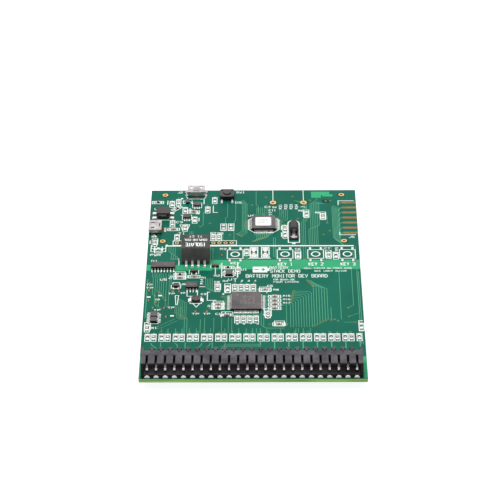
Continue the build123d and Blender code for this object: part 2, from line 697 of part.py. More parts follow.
# ---------------------------------------------------------------- round shielded inductor
with BuildPart() as inductor_shield:
    with BuildSketch(Plane.XY.offset(TOP)):
        with Locations((POWER_INDUCTOR.position.X, POWER_INDUCTOR.position.Y)):
            Circle(1.8)
            Circle(1.35, mode=Mode.SUBTRACT)
    extrude(amount=1.3)
inductor_shield.part.label = "inductor_shield"
export_step(inductor_shield.part, "parts/inductor_shield.step")

with BuildPart() as inductor_core:
    with BuildSketch(Plane.XY.offset(TOP)):
        with Locations((POWER_INDUCTOR.position.X, POWER_INDUCTOR.position.Y)):
            Circle(1.25)
    extrude(amount=1.25)
inductor_core.part.label = "inductor_core"
export_step(inductor_core.part, "parts/inductor_core.step")

with BuildPart() as inductor_terminals:
    with Locations(POWER_INDUCTOR):
        with GridLocations(4.5, 1, 2, 1):
            Box(0.8, 1.8, 0.4, align=(Align.CENTER, Align.CENTER, Align.MIN))
inductor_terminals.part.label = "inductor_terminals"
export_step(inductor_terminals.part, "parts/inductor_terminals.step")

# ---------------------------------------------------------------- lying round-ended receiver in its clip
RECEIVER_W = 3.2
RECEIVER_L = 6.4
RECEIVER_H = 2.9
CLIP_T = 0.25
with BuildPart() as receiver_body_shape:
    with BuildSketch(Plane.XY.offset(0.5)):
        with Locations((0, -1.3)):
            Rectangle(RECEIVER_W, RECEIVER_L - RECEIVER_W / 2, align=(Align.CENTER, Align.MIN))
        with Locations((0, -1.3 + RECEIVER_L - RECEIVER_W / 2)):
            Circle(RECEIVER_W / 2)
    extrude(amount=RECEIVER_H - 0.5)
    chamfer(receiver_body_shape.faces().sort_by(Axis.Z)[-1].edges(), 0.5)
with BuildPart() as receiver_body:
    with Locations(RECEIVER):
        add(receiver_body_shape.part)
receiver_body.part.label = "receiver_body"
export_step(receiver_body.part, "parts/receiver_body.step")

with BuildPart() as receiver_base_shape:
    with BuildSketch():
        with Locations((0, -6.4)):
            Rectangle(4.0, 11.5, align=(Align.CENTER, Align.MIN))
    extrude(amount=0.5)
    # side cheeks beside the clip
    for side in (-1, 1):
        with BuildSketch(Plane.XY.offset(0.5)):
            with Locations((side * 1.75, -6.4)):
                Rectangle(0.5, 4.6, align=(Align.CENTER, Align.MIN))
        extrude(amount=1.0)
with BuildPart() as receiver_base:
    with Locations(RECEIVER):
        add(receiver_base_shape.part)
receiver_base.part.label = "receiver_base"
export_step(receiver_base.part, "parts/receiver_base.step")

with BuildPart() as receiver_clip_shape:
    # a sheet-metal strap: up the body's front face, over a step, and down to a foot
    with BuildSketch(Plane.YZ):
        with BuildLine():
            Polyline(
                (-1.3, 0.5), (-1.3, 2.2), (-1.3 - CLIP_T, 2.2), (-1.3 - CLIP_T, 0.5 + CLIP_T),
                (-6.0, 0.5 + CLIP_T), (-6.0, 0.5), close=True,
            )
        make_face()
    extrude(amount=0.6, both=True)
    # the wide band across the body's front and the bow-tie foot
    with BuildSketch(Plane.XZ.offset(1.3)):
        with Locations((0, 1.7)):
            Rectangle(2.6, 0.9)
    extrude(amount=CLIP_T)
    with BuildSketch(Plane.XY.offset(0.5)):
        with Locations((-0.95, -5.1), (0.95, -5.1)):
            Trapezoid(1.5, 0.9, 60, rotation=90)
    extrude(amount=CLIP_T)
with BuildPart() as receiver_clip:
    with Locations(RECEIVER):
        add(receiver_clip_shape.part)
receiver_clip.part.label = "receiver_clip"
export_step(receiver_clip.part, "parts/receiver_clip.step")

# ---------------------------------------------------------------- chip resistors, capacitors and lamps
CHIP_MIDDLE = CHIP_L - 2 * CHIP_END
ON_BOARD = (Align.CENTER, Align.CENTER, Align.MIN)


def chip_ends(height):
    """The two metal end caps of a chip part lying along X."""
    with BuildPart() as ends:
        with GridLocations(CHIP_L - CHIP_END, 1, 2, 1):
            Box(CHIP_END, CHIP_W, height, align=ON_BOARD)
        fillet(ends.edges().filter_by(Axis.Y).group_by(Axis.Z)[-1], 0.08)
    return ends.part


with BuildPart() as resistor_bodies:
    with Locations(*RESISTORS):
        Box(CHIP_MIDDLE, CHIP_W, RESISTOR_H - 0.02, align=ON_BOARD)
resistor_bodies.part.label = "resistor_bodies"
export_step(resistor_bodies.part, "parts/resistor_bodies.step")

with BuildPart() as resistor_ends:
    with Locations(*RESISTORS):
        add(chip_ends(RESISTOR_H))
resistor_ends.part.label = "resistor_ends"
export_step(resistor_ends.part, "parts/resistor_ends.step")

with BuildPart() as capacitor_bodies:
    with Locations(*CAPACITORS):
        Box(CHIP_MIDDLE, CHIP_W, CAPACITOR_H - 0.03, align=ON_BOARD)
capacitor_bodies.part.label = "capacitor_bodies"
export_step(capacitor_bodies.part, "parts/capacitor_bodies.step")

with BuildPart() as capacitor_ends:
    with Locations(*CAPACITORS):
        add(chip_ends(CAPACITOR_H))
capacitor_ends.part.label = "capacitor_ends"
export_step(capacitor_ends.part, "parts/capacitor_ends.step")

with BuildPart() as led_bases:
    with Locations(*STATUS_LEDS):
        Box(2.0, 1.25, 0.3, align=ON_BOARD)
led_bases.part.label = "led_bases"
export_step(led_bases.part, "parts/led_bases.step")

with BuildPart() as led_lens:
    with BuildSketch(Plane.XY.offset(0.3)):
        Rectangle(1.4, 1.25)
    extrude(amount=0.5, taper=12)
with BuildPart() as led_lenses:
    with Locations(*STATUS_LEDS):
        add(led_lens.part)
led_lenses.part.label = "led_lenses"
export_step(led_lenses.part, "parts/led_lenses.step")

# ---------------------------------------------------------------- stick-on feet
with BuildPart() as rubber_foot:
    with BuildSketch():
        Circle(FOOT_R)
    extrude(amount=FOOT_H)
    fillet(rubber_foot.edges().group_by(Axis.Z)[0], 0.8)
with BuildPart() as rubber_feet:
    with Locations(*spots(FEET, z=0)):
        add(rubber_foot.part)
rubber_feet.part.label = "rubber_feet"
export_step(rubber_feet.part, "parts/rubber_feet.step")
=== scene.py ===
"""Looks of the battery monitor development board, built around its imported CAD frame.

Blender works in metres. Places on the board are written in millimetres from the board's middle,
+X right and +Y to the rear, and become metres when a mesh is made.
"""
import bpy
import json
import math
import random
from mathutils import Matrix, Vector


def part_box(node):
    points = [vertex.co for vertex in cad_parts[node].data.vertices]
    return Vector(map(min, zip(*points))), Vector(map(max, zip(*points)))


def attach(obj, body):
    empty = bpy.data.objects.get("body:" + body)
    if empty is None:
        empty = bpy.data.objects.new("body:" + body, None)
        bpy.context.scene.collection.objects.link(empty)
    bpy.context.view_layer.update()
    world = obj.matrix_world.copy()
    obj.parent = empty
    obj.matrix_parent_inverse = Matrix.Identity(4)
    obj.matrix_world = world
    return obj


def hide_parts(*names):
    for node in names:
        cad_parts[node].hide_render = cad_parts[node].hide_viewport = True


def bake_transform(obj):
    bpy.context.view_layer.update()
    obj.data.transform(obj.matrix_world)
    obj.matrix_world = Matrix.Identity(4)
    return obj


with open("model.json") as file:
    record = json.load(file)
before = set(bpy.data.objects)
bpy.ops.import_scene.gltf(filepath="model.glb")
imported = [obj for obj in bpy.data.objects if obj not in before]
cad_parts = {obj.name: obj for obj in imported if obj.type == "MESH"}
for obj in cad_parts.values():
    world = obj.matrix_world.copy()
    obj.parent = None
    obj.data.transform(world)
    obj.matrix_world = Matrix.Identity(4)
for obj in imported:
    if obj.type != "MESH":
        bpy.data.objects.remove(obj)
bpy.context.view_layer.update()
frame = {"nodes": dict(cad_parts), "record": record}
nodes = frame["nodes"]
ROOT = "board_assembly"
MM = 0.001

board_low, board_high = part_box("circuit_board")
TOP = board_high[2]
UNDER = board_low[2]
HALF_W = board_high[0] / MM
HALF_L = board_high[1] / MM


# ---------------- materials
def material(name, colour, rough, metal=0.0, specular=0.5, coat=0.0):
    """A new principled material, with its shader, node tree and object coordinates."""
    made = bpy.data.materials.new(name)
    made.use_nodes = True
    tree = made.node_tree
    shader = tree.nodes["Principled BSDF"]
    shader.inputs["Base Color"].default_value = (*colour, 1)
    shader.inputs["Roughness"].default_value = rough
    shader.inputs["Metallic"].default_value = metal
    shader.inputs["Specular IOR Level"].default_value = specular
    shader.inputs["Coat Weight"].default_value = coat
    place = tree.nodes.new("ShaderNodeTexCoord").outputs["Object"]
    return made, tree, shader, place


def noise(tree, place, scale, detail=3.0, stretch=(1, 1, 1)):
    """Noise at so many cells in a metre, drawn out along some axes."""
    spread = tree.nodes.new("ShaderNodeMapping")
    spread.inputs["Scale"].default_value = stretch
    tree.links.new(place, spread.inputs["Vector"])
    made = tree.nodes.new("ShaderNodeTexNoise")
    made.inputs["Scale"].default_value = scale
    made.inputs["Detail"].default_value = detail
    tree.links.new(spread.outputs["Vector"], made.inputs["Vector"])
    return made.outputs["Fac"]


def blend_colours(tree, factor, low, high, start=0.35, end=0.65):
    """A colour that goes from low to high as the factor goes from start to end."""
    ramp = tree.nodes.new("ShaderNodeValToRGB")
    ramp.color_ramp.elements[0].position = start
    ramp.color_ramp.elements[0].color = (*low, 1)
    ramp.color_ramp.elements[1].position = end
    ramp.color_ramp.elements[1].color = (*high, 1)
    tree.links.new(factor, ramp.inputs["Fac"])
    return ramp.outputs["Color"]


def spread_value(tree, factor, low, high):
    """A number that follows the factor between low and high."""
    made = tree.nodes.new("ShaderNodeMapRange")
    made.inputs["To Min"].default_value = low
    made.inputs["To Max"].default_value = high
    tree.links.new(factor, made.inputs["Value"])
    return made.outputs["Result"]


def bump(tree, shader, height, depth, strength=0.5):
    """Surface relief of so many metres from a height between 0 and 1."""
    made = tree.nodes.new("ShaderNodeBump")
    made.inputs["Strength"].default_value = strength
    made.inputs["Distance"].default_value = depth
    tree.links.new(height, made.inputs["Height"])
    tree.links.new(made.outputs["Normal"], shader.inputs["Normal"])


def tint(colour, gain):
    """The colour made lighter or darker."""
    return tuple(min(1.0, channel * gain) for channel in colour)


def paint(tree, shader, hue, gloss, smooth, dull):
    """The colour output, and a roughness that follows the gloss factor between two values."""
    tree.links.new(hue, shader.inputs["Base Color"])
    tree.links.new(spread_value(tree, gloss, smooth, dull), shader.inputs["Roughness"])


def level_share(tree):
    """One on faces that lie level, nought on upright faces."""
    facing = tree.nodes.new("ShaderNodeNewGeometry").outputs["Normal"]
    split = tree.nodes.new("ShaderNodeSeparateXYZ")
    tree.links.new(facing, split.inputs["Vector"])
    upright = tree.nodes.new("ShaderNodeMath")
    upright.operation = "ABSOLUTE"
    tree.links.new(split.outputs["Z"], upright.inputs[0])
    level = tree.nodes.new("ShaderNodeMapRange")
    level.inputs["From Min"].default_value = 0.4
    level.inputs["From Max"].default_value = 0.8
    tree.links.new(upright.outputs["Value"], level.inputs["Value"])
    return level.outputs["Result"]


def mix_colours(tree, factor, low, high):
    """Two colour outputs mixed by a factor."""
    pick = tree.nodes.new("ShaderNodeMix")
    pick.data_type = "RGBA"
    tree.links.new(factor, pick.inputs["Factor"])
    tree.links.new(low, pick.inputs["A"])
    tree.links.new(high, pick.inputs["B"])
    return pick.outputs["Result"]


def moulded(name, colour, rough, grain=1500, depth=0.00002, specular=0.5, coat=0.0, vary=0.25, side=1.0):
    """Moulded plastic or resin: fine grain, slight cloudiness, uneven gloss. Upright faces take the colour
    times the factor side. Where side is below one this paints shade onto the sides, and where it is above one
    it paints light onto them."""
    made, tree, shader, place = material(name, colour, rough, specular=specular, coat=coat)
    cloud = noise(tree, place, 180, 4)
    fine = noise(tree, place, grain, 5)
    hue = blend_colours(tree, cloud, tint(colour, 1 - vary), tint(colour, 1 + vary))
    # painted side shading: upright faces get painted shade (side below one) or painted light (side above one)
    # compared with the top
    if side != 1:
        painted_side_shading = tint(colour, side)
        upright = blend_colours(tree, cloud, tint(painted_side_shading, 1 - vary), tint(painted_side_shading, 1 + vary))
        hue = mix_colours(tree, level_share(tree), upright, hue)
    paint(tree, shader, hue, fine, rough - 0.1, min(1, rough + 0.1))
    bump(tree, shader, fine, depth)
    return made


def metal_finish(name, colour, rough, scratch=(1, 12, 1), depth=0.000004, vary=0.12):
    """Plated or rolled metal: brushed streaks, dull spots and faint staining."""
    made, tree, shader, place = material(name, colour, rough, metal=1.0)
    streak = noise(tree, place, 900, 4, scratch)
    stain = noise(tree, place, 350, 3)
    hue = blend_colours(tree, stain, tint(colour, 1 - vary), tint(colour, 1 + vary / 2))
    paint(tree, shader, hue, streak, rough * 0.6, rough * 1.5)
    bump(tree, shader, streak, depth, 0.4)
    return made


MASK_GREEN = (0.003, 0.128, 0.082)
TRACE_GREEN = (0.090, 0.350, 0.210)
BARE_GREEN = (0.040, 0.380, 0.175)
EDGE_GREEN = (0.25, 0.42, 0.12)


def mask_finish(name, colour, rough=0.32):
    """Solder mask: glossy lacquer with a faint weave, over the copper or the laminate."""
    made, tree, shader, place = material(name, colour, rough, specular=0.06)
    weave_x = noise(tree, place, 700, 2, (1, 0.15, 1))
    weave_y = noise(tree, place, 700, 2, (0.15, 1, 1))
    cloud = noise(tree, place, 45, 4)
    mixed = tree.nodes.new("ShaderNodeMath")
    mixed.operation = "MULTIPLY"
    tree.links.new(weave_x, mixed.inputs[0])
    tree.links.new(weave_y, mixed.inputs[1])
    hue = blend_colours(tree, cloud, tint(colour, 0.86), tint(colour, 1.14), 0.3, 0.7)
    paint(tree, shader, hue, cloud, rough - 0.06, rough + 0.1)
    bump(tree, shader, mixed.outputs["Value"], 0.00003, 0.25)
    return made


def board_finish():
    """The circuit board: solder mask on its faces, sawn glass laminate on its edges."""
    made, tree, shader, place = material("board_mask", MASK_GREEN, 0.34, specular=0.06)
    cloud = noise(tree, place, 45, 4)
    mask_hue = blend_colours(tree, cloud, tint(MASK_GREEN, 0.84), tint(MASK_GREEN, 1.16), 0.3, 0.7)
    plies = noise(tree, place, 260, 3, (0.25, 0.25, 12))
    edge_hue = blend_colours(tree, plies, tint(EDGE_GREEN, 0.62), tint(EDGE_GREEN, 1.3), 0.35, 0.65)
    level = level_share(tree)
    paint(tree, shader, mix_colours(tree, level, edge_hue, mask_hue), level, 0.75, 0.34)
    bump(tree, shader, plies, 0.00003, 0.3)
    return made


def ink_finish(name, colour, patchy=0.12):
    """Printed ink: chalky white, slightly uneven in cover."""
    made, tree, shader, place = material(name, colour, 0.6, specular=0.3)
    cover = noise(tree, place, 1100, 4)
    hue = blend_colours(tree, cover, tint(colour, 1 - patchy), colour, 0.3, 0.55)
    paint(tree, shader, hue, cover, 0.5, 0.75)
    bump(tree, shader, cover, 0.00001, 0.4)
    return made


def label_finish():
    """White paper label with a soft fibre pattern."""
    made, tree, shader, place = material("label_paper", (0.86, 0.86, 0.88), 0.8, specular=0.2)
    fibre = noise(tree, place, 2600, 5)
    hue = blend_colours(tree, fibre, (0.80, 0.80, 0.83), (0.92, 0.92, 0.93))
    tree.links.new(hue, shader.inputs["Base Color"])
    bump(tree, shader, fibre, 0.00001, 0.5)
    return made


MATERIALS = {
    "solder_mask": board_finish(),
    "gold_plate": metal_finish("gold_plate", (0.25, 0.185, 0.08), 0.5),
    # side=0.05 paints shade onto the header's upright faces
    "header_plastic": moulded("header_plastic", (0.101, 0.093, 0.107), 0.62, 700, 0.00006, 0.14,
                              vary=0.35, side=0.05),
    "tin_plate": metal_finish("tin_plate", (0.86, 0.85, 0.84), 0.30, (6, 1, 1)),
    "shell_steel": metal_finish("shell_steel", (0.48, 0.455, 0.455), 0.34, (1, 14, 1), vary=0.3),
    "connector_plastic": moulded("connector_plastic", (0.008, 0.008, 0.008), 0.5),
    # the side factors of button_black, ic_resin and ferrite paint shade onto their upright faces
    "button_black": moulded("button_black", (0.040, 0.037, 0.040), 0.42, 1800, side=0.2),
    "ic_resin": moulded("ic_resin", (0.118, 0.103, 0.106), 0.6, 2400, 0.00002, 0.3, side=0.12),
    "label_paper": label_finish(),
    "ferrite": moulded("ferrite", (0.085, 0.074, 0.072), 0.6, 1300, 0.00004, 0.3, side=0.35),
    "copper": metal_finish("copper", (0.80, 0.42, 0.22), 0.35, (1, 1, 20), 0.00001),
    "resistor_glaze": moulded("resistor_glaze", (0.012, 0.009, 0.009), 0.5, 1800, 0.00001, 0.15),
    "capacitor_ceramic": moulded("capacitor_ceramic", (0.50, 0.37, 0.27), 0.5, 1800),
    "led_base": moulded("led_base", (0.75, 0.73, 0.68), 0.6),
    "led_lens": moulded("led_lens", (0.86, 0.80, 0.68), 0.22, 1200, 0.000004, coat=0.5, vary=0.06),
    "rubber_feet": moulded("rubber_feet", (0.03, 0.03, 0.03), 0.8, 1600, 0.00005),
}
INK = ink_finish("silk_ink", (0.86, 0.95, 0.90))
FAINT_INK = ink_finish("laser_mark", (0.24, 0.22, 0.19), 0.3)
VIA_COPPER = mask_finish("via_copper", (0.17, 0.26, 0.11))
LABEL_INK = ink_finish("label_ink", (0.55, 0.56, 0.57), 0.2)
TRACE = mask_finish("masked_copper", TRACE_GREEN)
RECEIVER_BLACK = moulded("receiver_black", (0.012, 0.011, 0.012), 0.4, 1500)
# side=2.3 paints light onto the transformer case's upright faces
CASE_RESIN = moulded("case_resin", (0.056, 0.050, 0.049), 0.6, 2000, 0.00002, 0.3, side=2.3)
MARK_WHITE = ink_finish("mark_white", (0.97, 0.95, 0.95))
TITLE_INK = ink_finish("title_ink", (0.66, 0.80, 0.73))
PIN_TIN = metal_finish("pin_tin", (0.52, 0.49, 0.46), 0.45, (6, 1, 1))
EYELET_GOLD = metal_finish("eyelet_gold", (0.72, 0.47, 0.20), 0.36)
BARE = mask_finish("bare_laminate", BARE_GREEN, 0.4)
SOLDER = metal_finish("solder", (0.68, 0.67, 0.67), 0.34, (1, 1, 1))
DARK_MASK = mask_finish("dark_clearance", tint(MASK_GREEN, 0.35))

for row in frame["record"]["subparts"]:
    node = nodes[row["node"]]
    node.data.materials.clear()
    node.data.materials.append(MATERIALS[row["material_slot"]])
nodes["header_pins"].data.materials[0] = PIN_TIN
nodes["receiver_body"].data.materials[0] = RECEIVER_BLACK
nodes["transformer_case"].data.materials[0] = CASE_RESIN
nodes["choke_winding"].data.materials[0] = PIN_TIN
for plated in ("corner_eyelets", "usb_a_eyelets", "socket_row_eyelets"):
    nodes[plated].data.materials[0] = EYELET_GOLD


# ---------------- the CAD's own places
def islands(node):
    """The separate solids of a CAD node, as (centre, size) in millimetres."""
    mesh = nodes[node].data
    keys = [tuple(round(c, 6) for c in v.co) for v in mesh.vertices]
    parent = {key: key for key in keys}

    def root(key):
        while parent[key] != key:
            parent[key] = parent[parent[key]]
            key = parent[key]
        return key

    for face in mesh.polygons:
        first = root(keys[face.vertices[0]])
        for index in face.vertices[1:]:
            parent[root(keys[index])] = first
    groups = {}
    for key in parent:
        groups.setdefault(root(key), []).append(key)
    found = []
    for points in groups.values():
        low = Vector([min(p[i] for p in points) for i in range(3)]) / MM
        high = Vector([max(p[i] for p in points) for i in range(3)]) / MM
        found.append(((low + high) / 2, high - low))
    return sorted(found, key=lambda item: (round(item[0].y, 2), round(item[0].x, 2)))


def extent(node):
    """The middle and the size of a CAD node in millimetres."""
    low, high = (Vector(corner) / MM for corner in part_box(node))
    return (low + high) / 2, high - low


def centre(node):
    """The middle of a CAD node in millimetres."""
    return extent(node)[0]


def mesh_object(name, points, faces, finish):
    """A new mesh with one finish, in the scene."""
    mesh = bpy.data.meshes.new(name)
    mesh.from_pydata(points, [], faces)
    mesh.materials.append(finish)
    made = bpy.data.objects.new(name, mesh)
    bpy.context.collection.objects.link(made)
    return made


def board_piece(name, points, faces, finish):
    """A new mesh that belongs to the board."""
    made = mesh_object(name, points, faces, finish)
    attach(made, ROOT)


# ---------------- flat artwork
GLYPHS = {
    "A": "0004264440/0242", "B": "00063645443303/3342413000", "C": "4536160501103041",
    "D": "00062644422000", "E": "46060040/0333", "F": "460600/0333", "G": "45361605011030414323",
    "H": "0006/4046/0343", "I": "2026/1030/1636", "J": "4641301001", "K": "0006/460340", "L": "060040",
    "M": "0006234640", "N": "00064046", "O": "100105163645413010", "P": "00063645443303",
    "Q": "100105163645413010/2240", "R": "00063645443303/2340", "S": "011030414233130405163645",
    "T": "0646/2620", "U": "060110304146", "V": "062046", "W": "0610233046",
    "Y": "062346/2320", "1": "152620/1030",
    "2": "05163645440040", "3": "05163645443313/334241301001", "4": "30360242", "5": "4606033342413000",
    "6": "36160501103041423303", "7": "064610", "8": "13040516364544331302011030414233",
    "9": "43130405163645413010",
}
GLYPH_W = 4
GLYPH_H = 6
GLYPH_STEP = 5.6
LAYERS = 7  # strips that cross lie at different heights, so their tops never coincide
LAYER_STEP = 0.0015 * MM


class Sheet:
    """Thin artwork lying on a level face: strips, boxes, discs and rings, gathered into one mesh."""

    def __init__(self, name, finish, slot, floor=TOP, lift=0.03, sink=-0.02):
        self.name = name
        self.finish = finish
        self.slot = slot
        self.high = floor + lift * MM
        self.low = floor + sink * MM
        self.points = []
        self.faces = []
        self.layer = 0

    def slab(self, left, right, closed=False):
        """A thin strip between two rows of points of one length."""
        count = len(left)
        base = len(self.points)
        self.layer = (self.layer + 1) % LAYERS
        step = math.copysign(self.layer * LAYER_STEP, self.high - self.low)
        for height in (self.high + step, self.low):
            self.points += [(x * MM, y * MM, height) for x, y in left]
            self.points += [(x * MM, y * MM, height) for x, y in right]
        top_l, top_r, low_l, low_r = base, base + count, base + 2 * count, base + 3 * count
        for i in range(count if closed else count - 1):
            j = (i + 1) % count
            self.faces += [
                (top_l + i, top_r + i, top_r + j, top_l + j), (low_l + j, low_r + j, low_r + i, low_l + i),
                (low_l + i, top_l + i, top_l + j, low_l + j), (low_r + j, top_r + j, top_r + i, low_r + i),
            ]
        if not closed:
            end = count - 1
            self.faces += [
                (top_l, low_l, low_r, top_r), (top_l + end, top_r + end, low_r + end, low_l + end),
            ]

    def line(self, path, width, closed=False):
        """A strip of even width along a path, mitred at its turns."""
        path = [Vector(p) for p in path]
        count = len(path)
        left = []
        right = []
        for i, point in enumerate(path):
            before = path[i - 1] if closed or i else None
            after = path[(i + 1) % count] if closed or i < count - 1 else None
            ways = []
            if before is not None:
                ways.append((point - before).normalized())
            if after is not None:
                ways.append((after - point).normalized())
            sides = [Vector((-way.y, way.x)) for way in ways]
            middle = sum(sides, Vector((0, 0)))
            middle = middle.normalized() if middle.length > 1e-6 else sides[0]
            reach = width / 2 / max(0.4, middle.dot(sides[0]))
            left.append(tuple(point + middle * reach))
            right.append(tuple(point - middle * reach))
        self.slab(left, right, closed)

    def box(self, x, y, width, length, turn=0.0):
        """A filled rectangle about (x, y)."""
        along = Vector((math.cos(turn), math.sin(turn))) * width / 2
        self.line([Vector((x, y)) - along, Vector((x, y)) + along], length)

    def outline(self, x, y, width, length, pen=0.25, cut=0.0, turn=0.0):
        """An unfilled rectangle about (x, y), with its corners cut off if cut is given."""
        w, l = width / 2, length / 2
        if cut:
            corners = [(-w + cut, -l), (w - cut, -l), (w, -l + cut), (w, l - cut), (w - cut, l),
                       (-w + cut, l), (-w, l - cut), (-w, -l + cut)]
        else:
            corners = [(-w, -l), (w, -l), (w, l), (-w, l)]
        swing = Matrix.Rotation(turn, 2)
        self.line([Vector((x, y)) + swing @ Vector(c) for c in corners], pen, closed=True)

    def ring(self, x, y, radius, pen, start=0.0, sweep=math.tau, steps=28):
        """A circle or an arc drawn with a pen."""
        whole = sweep >= math.tau - 1e-6
        count = steps if whole else steps + 1
        turns = [start + sweep * i / steps for i in range(count)]
        outer = radius + pen / 2
        inner = radius - pen / 2
        self.slab([(x + outer * math.cos(a), y + outer * math.sin(a)) for a in turns],
                  [(x + inner * math.cos(a), y + inner * math.sin(a)) for a in turns], closed=whole)

    def disc(self, x, y, radius, steps=18):
        """A filled circle."""
        self.ring(x, y, radius / 2, radius * 0.998, steps=steps)

    def text(self, words, x, y, height, pen=0.2, turn=0.0, width=None):
        """Words of plain strokes, centred on (x, y)."""
        unit = height / GLYPH_H
        squeeze = width / (len(words) * GLYPH_STEP * unit) if width else 1.0
        swing = Matrix.Rotation(turn, 2)
        start = -(len(words) * GLYPH_STEP - (GLYPH_STEP - GLYPH_W)) / 2
        for i, letter in enumerate(words):
            for stroke in filter(None, GLYPHS.get(letter, "").split("/")):
                path = []
                for k in range(0, len(stroke), 2):
                    u = (start + i * GLYPH_STEP + int(stroke[k])) * unit * squeeze
                    v = (int(stroke[k + 1]) - GLYPH_H / 2) * unit
                    path.append(Vector((x, y)) + swing @ Vector((u, v)))
                self.line(path, pen)

    def build(self):
        """Makes the sheet's object."""
        board_piece(self.name, self.points, self.faces, self.finish)


def each(draw, *rows):
    """The same kind of mark drawn once for each row of its values."""
    for row in rows:
        draw(*row)


silk = Sheet("silk_print", INK, "label_paper", lift=0.06)
traces = Sheet("traces", TRACE, "solder_mask", lift=0.045)
bare = Sheet("bare_laminate_zones", BARE, "solder_mask", lift=0.02)
pads = Sheet("solder_pads", SOLDER, "tin_plate", lift=0.08)
rings = Sheet("clearance_rings", DARK_MASK, "solder_mask", lift=0.03)
vias = Sheet("via_rings", VIA_COPPER, "solder_mask", lift=0.055)
holes = Sheet("via_centres", DARK_MASK, "solder_mask", lift=0.05)


# ---------------- solder
class Lumps:
    """Closed shapes made of rings of points, gathered into one mesh."""

    def __init__(self, name, finish, slot):
        self.name = name
        self.finish = finish
        self.slot = slot
        self.points = []
        self.faces = []

    def skin(self, rings):
        """A closed shape through rings of one count of points, in metres."""
        count = len(rings[0])
        for level, ring in enumerate(rings):
            base = len(self.points)
            self.points += ring
            if level == 0:
                self.faces.append(tuple(base + i for i in range(count)))
                continue
            for i in range(count):
                j = (i + 1) % count
                self.faces.append((base - count + i, base + i, base + j, base - count + j))
        self.faces.append(tuple(base + i for i in reversed(range(count))))

    def fillet(self, x, y, turn, width, height, length):
        """A concave wedge of solder from a part's end face down to its pad, pointing along turn."""
        steps = 5
        profile = [(0.0, 0.0)]
        for i in range(steps):
            turned = i / steps * math.pi / 2
            profile.append((length * (1 - math.cos(turned)), height * (1 - math.sin(turned))))
        profile += [(length, 0.02), (length, 0.0)]
        ahead = Vector((math.cos(turn), math.sin(turn)))
        aside = Vector((-ahead.y, ahead.x))
        rings = []
        for side in (-1, 1):
            ring = []
            for reach, rise in profile:
                narrow = 1 - 0.25 * reach / length
                spot = Vector((x, y)) + ahead * reach + aside * side * width / 2 * narrow
                ring.append((spot.x * MM, spot.y * MM, TOP + rise * MM))
            rings.append(ring)
        self.skin(rings)

    def cone(self, x, y, radius, neck, height, floor, direction):
        """A flared solder joint round a pin."""
        steps = 16
        rings = []
        for r, rise in ((neck, 1.0), (neck * 1.25, 0.55), (radius * 0.72, 0.18), (radius, 0.0)):
            z = floor + direction * rise * height * MM
            turns = [math.tau * i / steps for i in range(steps)]
            rings.append([((x + r * math.cos(a)) * MM, (y + r * math.sin(a)) * MM, z) for a in turns])
        self.skin(rings)

    def build(self):
        """Makes the object."""
        board_piece(self.name, self.points, self.faces, self.finish)


joints = Lumps("solder_fillets", SOLDER, "tin_plate")
CHIP_HALF = 0.8
CHIP_SILK_W = 1.95
CHIP_SILK_L = 4.9
SILK_LAG = 0.45  # a silk box is this far in front of the part it surrounds


def chip_turn(size):
    """Which way a chip part lies, from the box of its body."""
    if abs(size.x - size.y) < 0.05:
        return math.pi / 4
    return 0.0 if size.x > size.y else math.pi / 2


def solder_chip(middle, size, height, half=CHIP_HALF):
    """Pads and fillets at both ends of a chip part."""
    turn = chip_turn(size)
    ahead = Vector((math.cos(turn), math.sin(turn)))
    for side in (-1, 1):
        end = middle.xy + ahead * side * half
        pad = end + ahead * side * 0.3
        pads.box(pad.x, pad.y, 1.45, 1.3, turn)
        joints.fillet(end.x, end.y, turn + (math.pi if side < 0 else 0), 0.95, height * 0.92, 0.85)


def outward(middle, size, home):
    """The level direction in which a lead points away from its package's middle."""
    way = middle.xy - home
    if size.x > size.y:
        return Vector((math.copysign(1, way.x), 0))
    return Vector((0, math.copysign(1, way.y)))


def solder_lead(middle, size, home):
    """The pad under a gull-wing lead and the solder at its toe."""
    reach = 0.6
    ahead = outward(middle, size, home)
    turn = math.atan2(ahead.y, ahead.x)
    long = max(size.x, size.y)
    wide = min(size.x, size.y)
    toe = middle.xy + ahead * long / 2
    pad = toe - ahead * (long * 0.5 - reach) / 2
    pads.box(pad.x, pad.y, long * 0.5 + reach, wide * 1.35, turn)
    joints.fillet(toe.x, toe.y, turn, wide * 1.1, 0.14, reach * 0.8)


resistors = islands("resistor_bodies")
capacitors = islands("capacitor_bodies")
for middle, size in resistors:
    solder_chip(middle, size, 0.5)
for middle, size in capacitors:
    solder_chip(middle, size, 0.8)
lamps = islands("led_bases")
for middle, size in lamps:
    solder_chip(middle, size, 0.3, half=1.0)
packages = [(chip + "_ic_leads", chip + "_ic_body") for chip in ("monitor", "controller", "driver", "memory")]
packages += [("transformer_leads", "transformer_case"), ("button_terminals", "button_base"),
             ("regulator_leads", "regulator_bodies"), ("transistor_leads", "transistor_bodies")]
for leads, bodies in packages:
    homes = [spot.xy for spot, size in islands(bodies)]
    for middle, size in islands(leads):
        solder_lead(middle, size, min(homes, key=lambda home: (home - middle.xy).length))
pins = islands("header_pins")
TAIL_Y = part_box("header_pins")[1][1] / MM - 0.4
for middle, size in pins:
    joints.cone(middle.x, TAIL_Y, 1.05, 0.5, 1.1, UNDER, -1)
    joints.cone(middle.x, TAIL_Y, 0.95, 0.5, 0.5, TOP, 1)

# ---------------- bare laminate windows in the copper
each(
    bare.box, (13.0, 10.4, 62.0, 7.0), (-30.5, 8.2, 26.9, 4.2), (28.8, 65.2, 7.9, 2.9),
    (27.0, 62.9, 4.2, 2.4), (31.9, 63.6, 4.4, 1.7), (43.2, -60.6, 1.4, 14.0), (-43.7, -60.6, 0.5, 14.0),
)

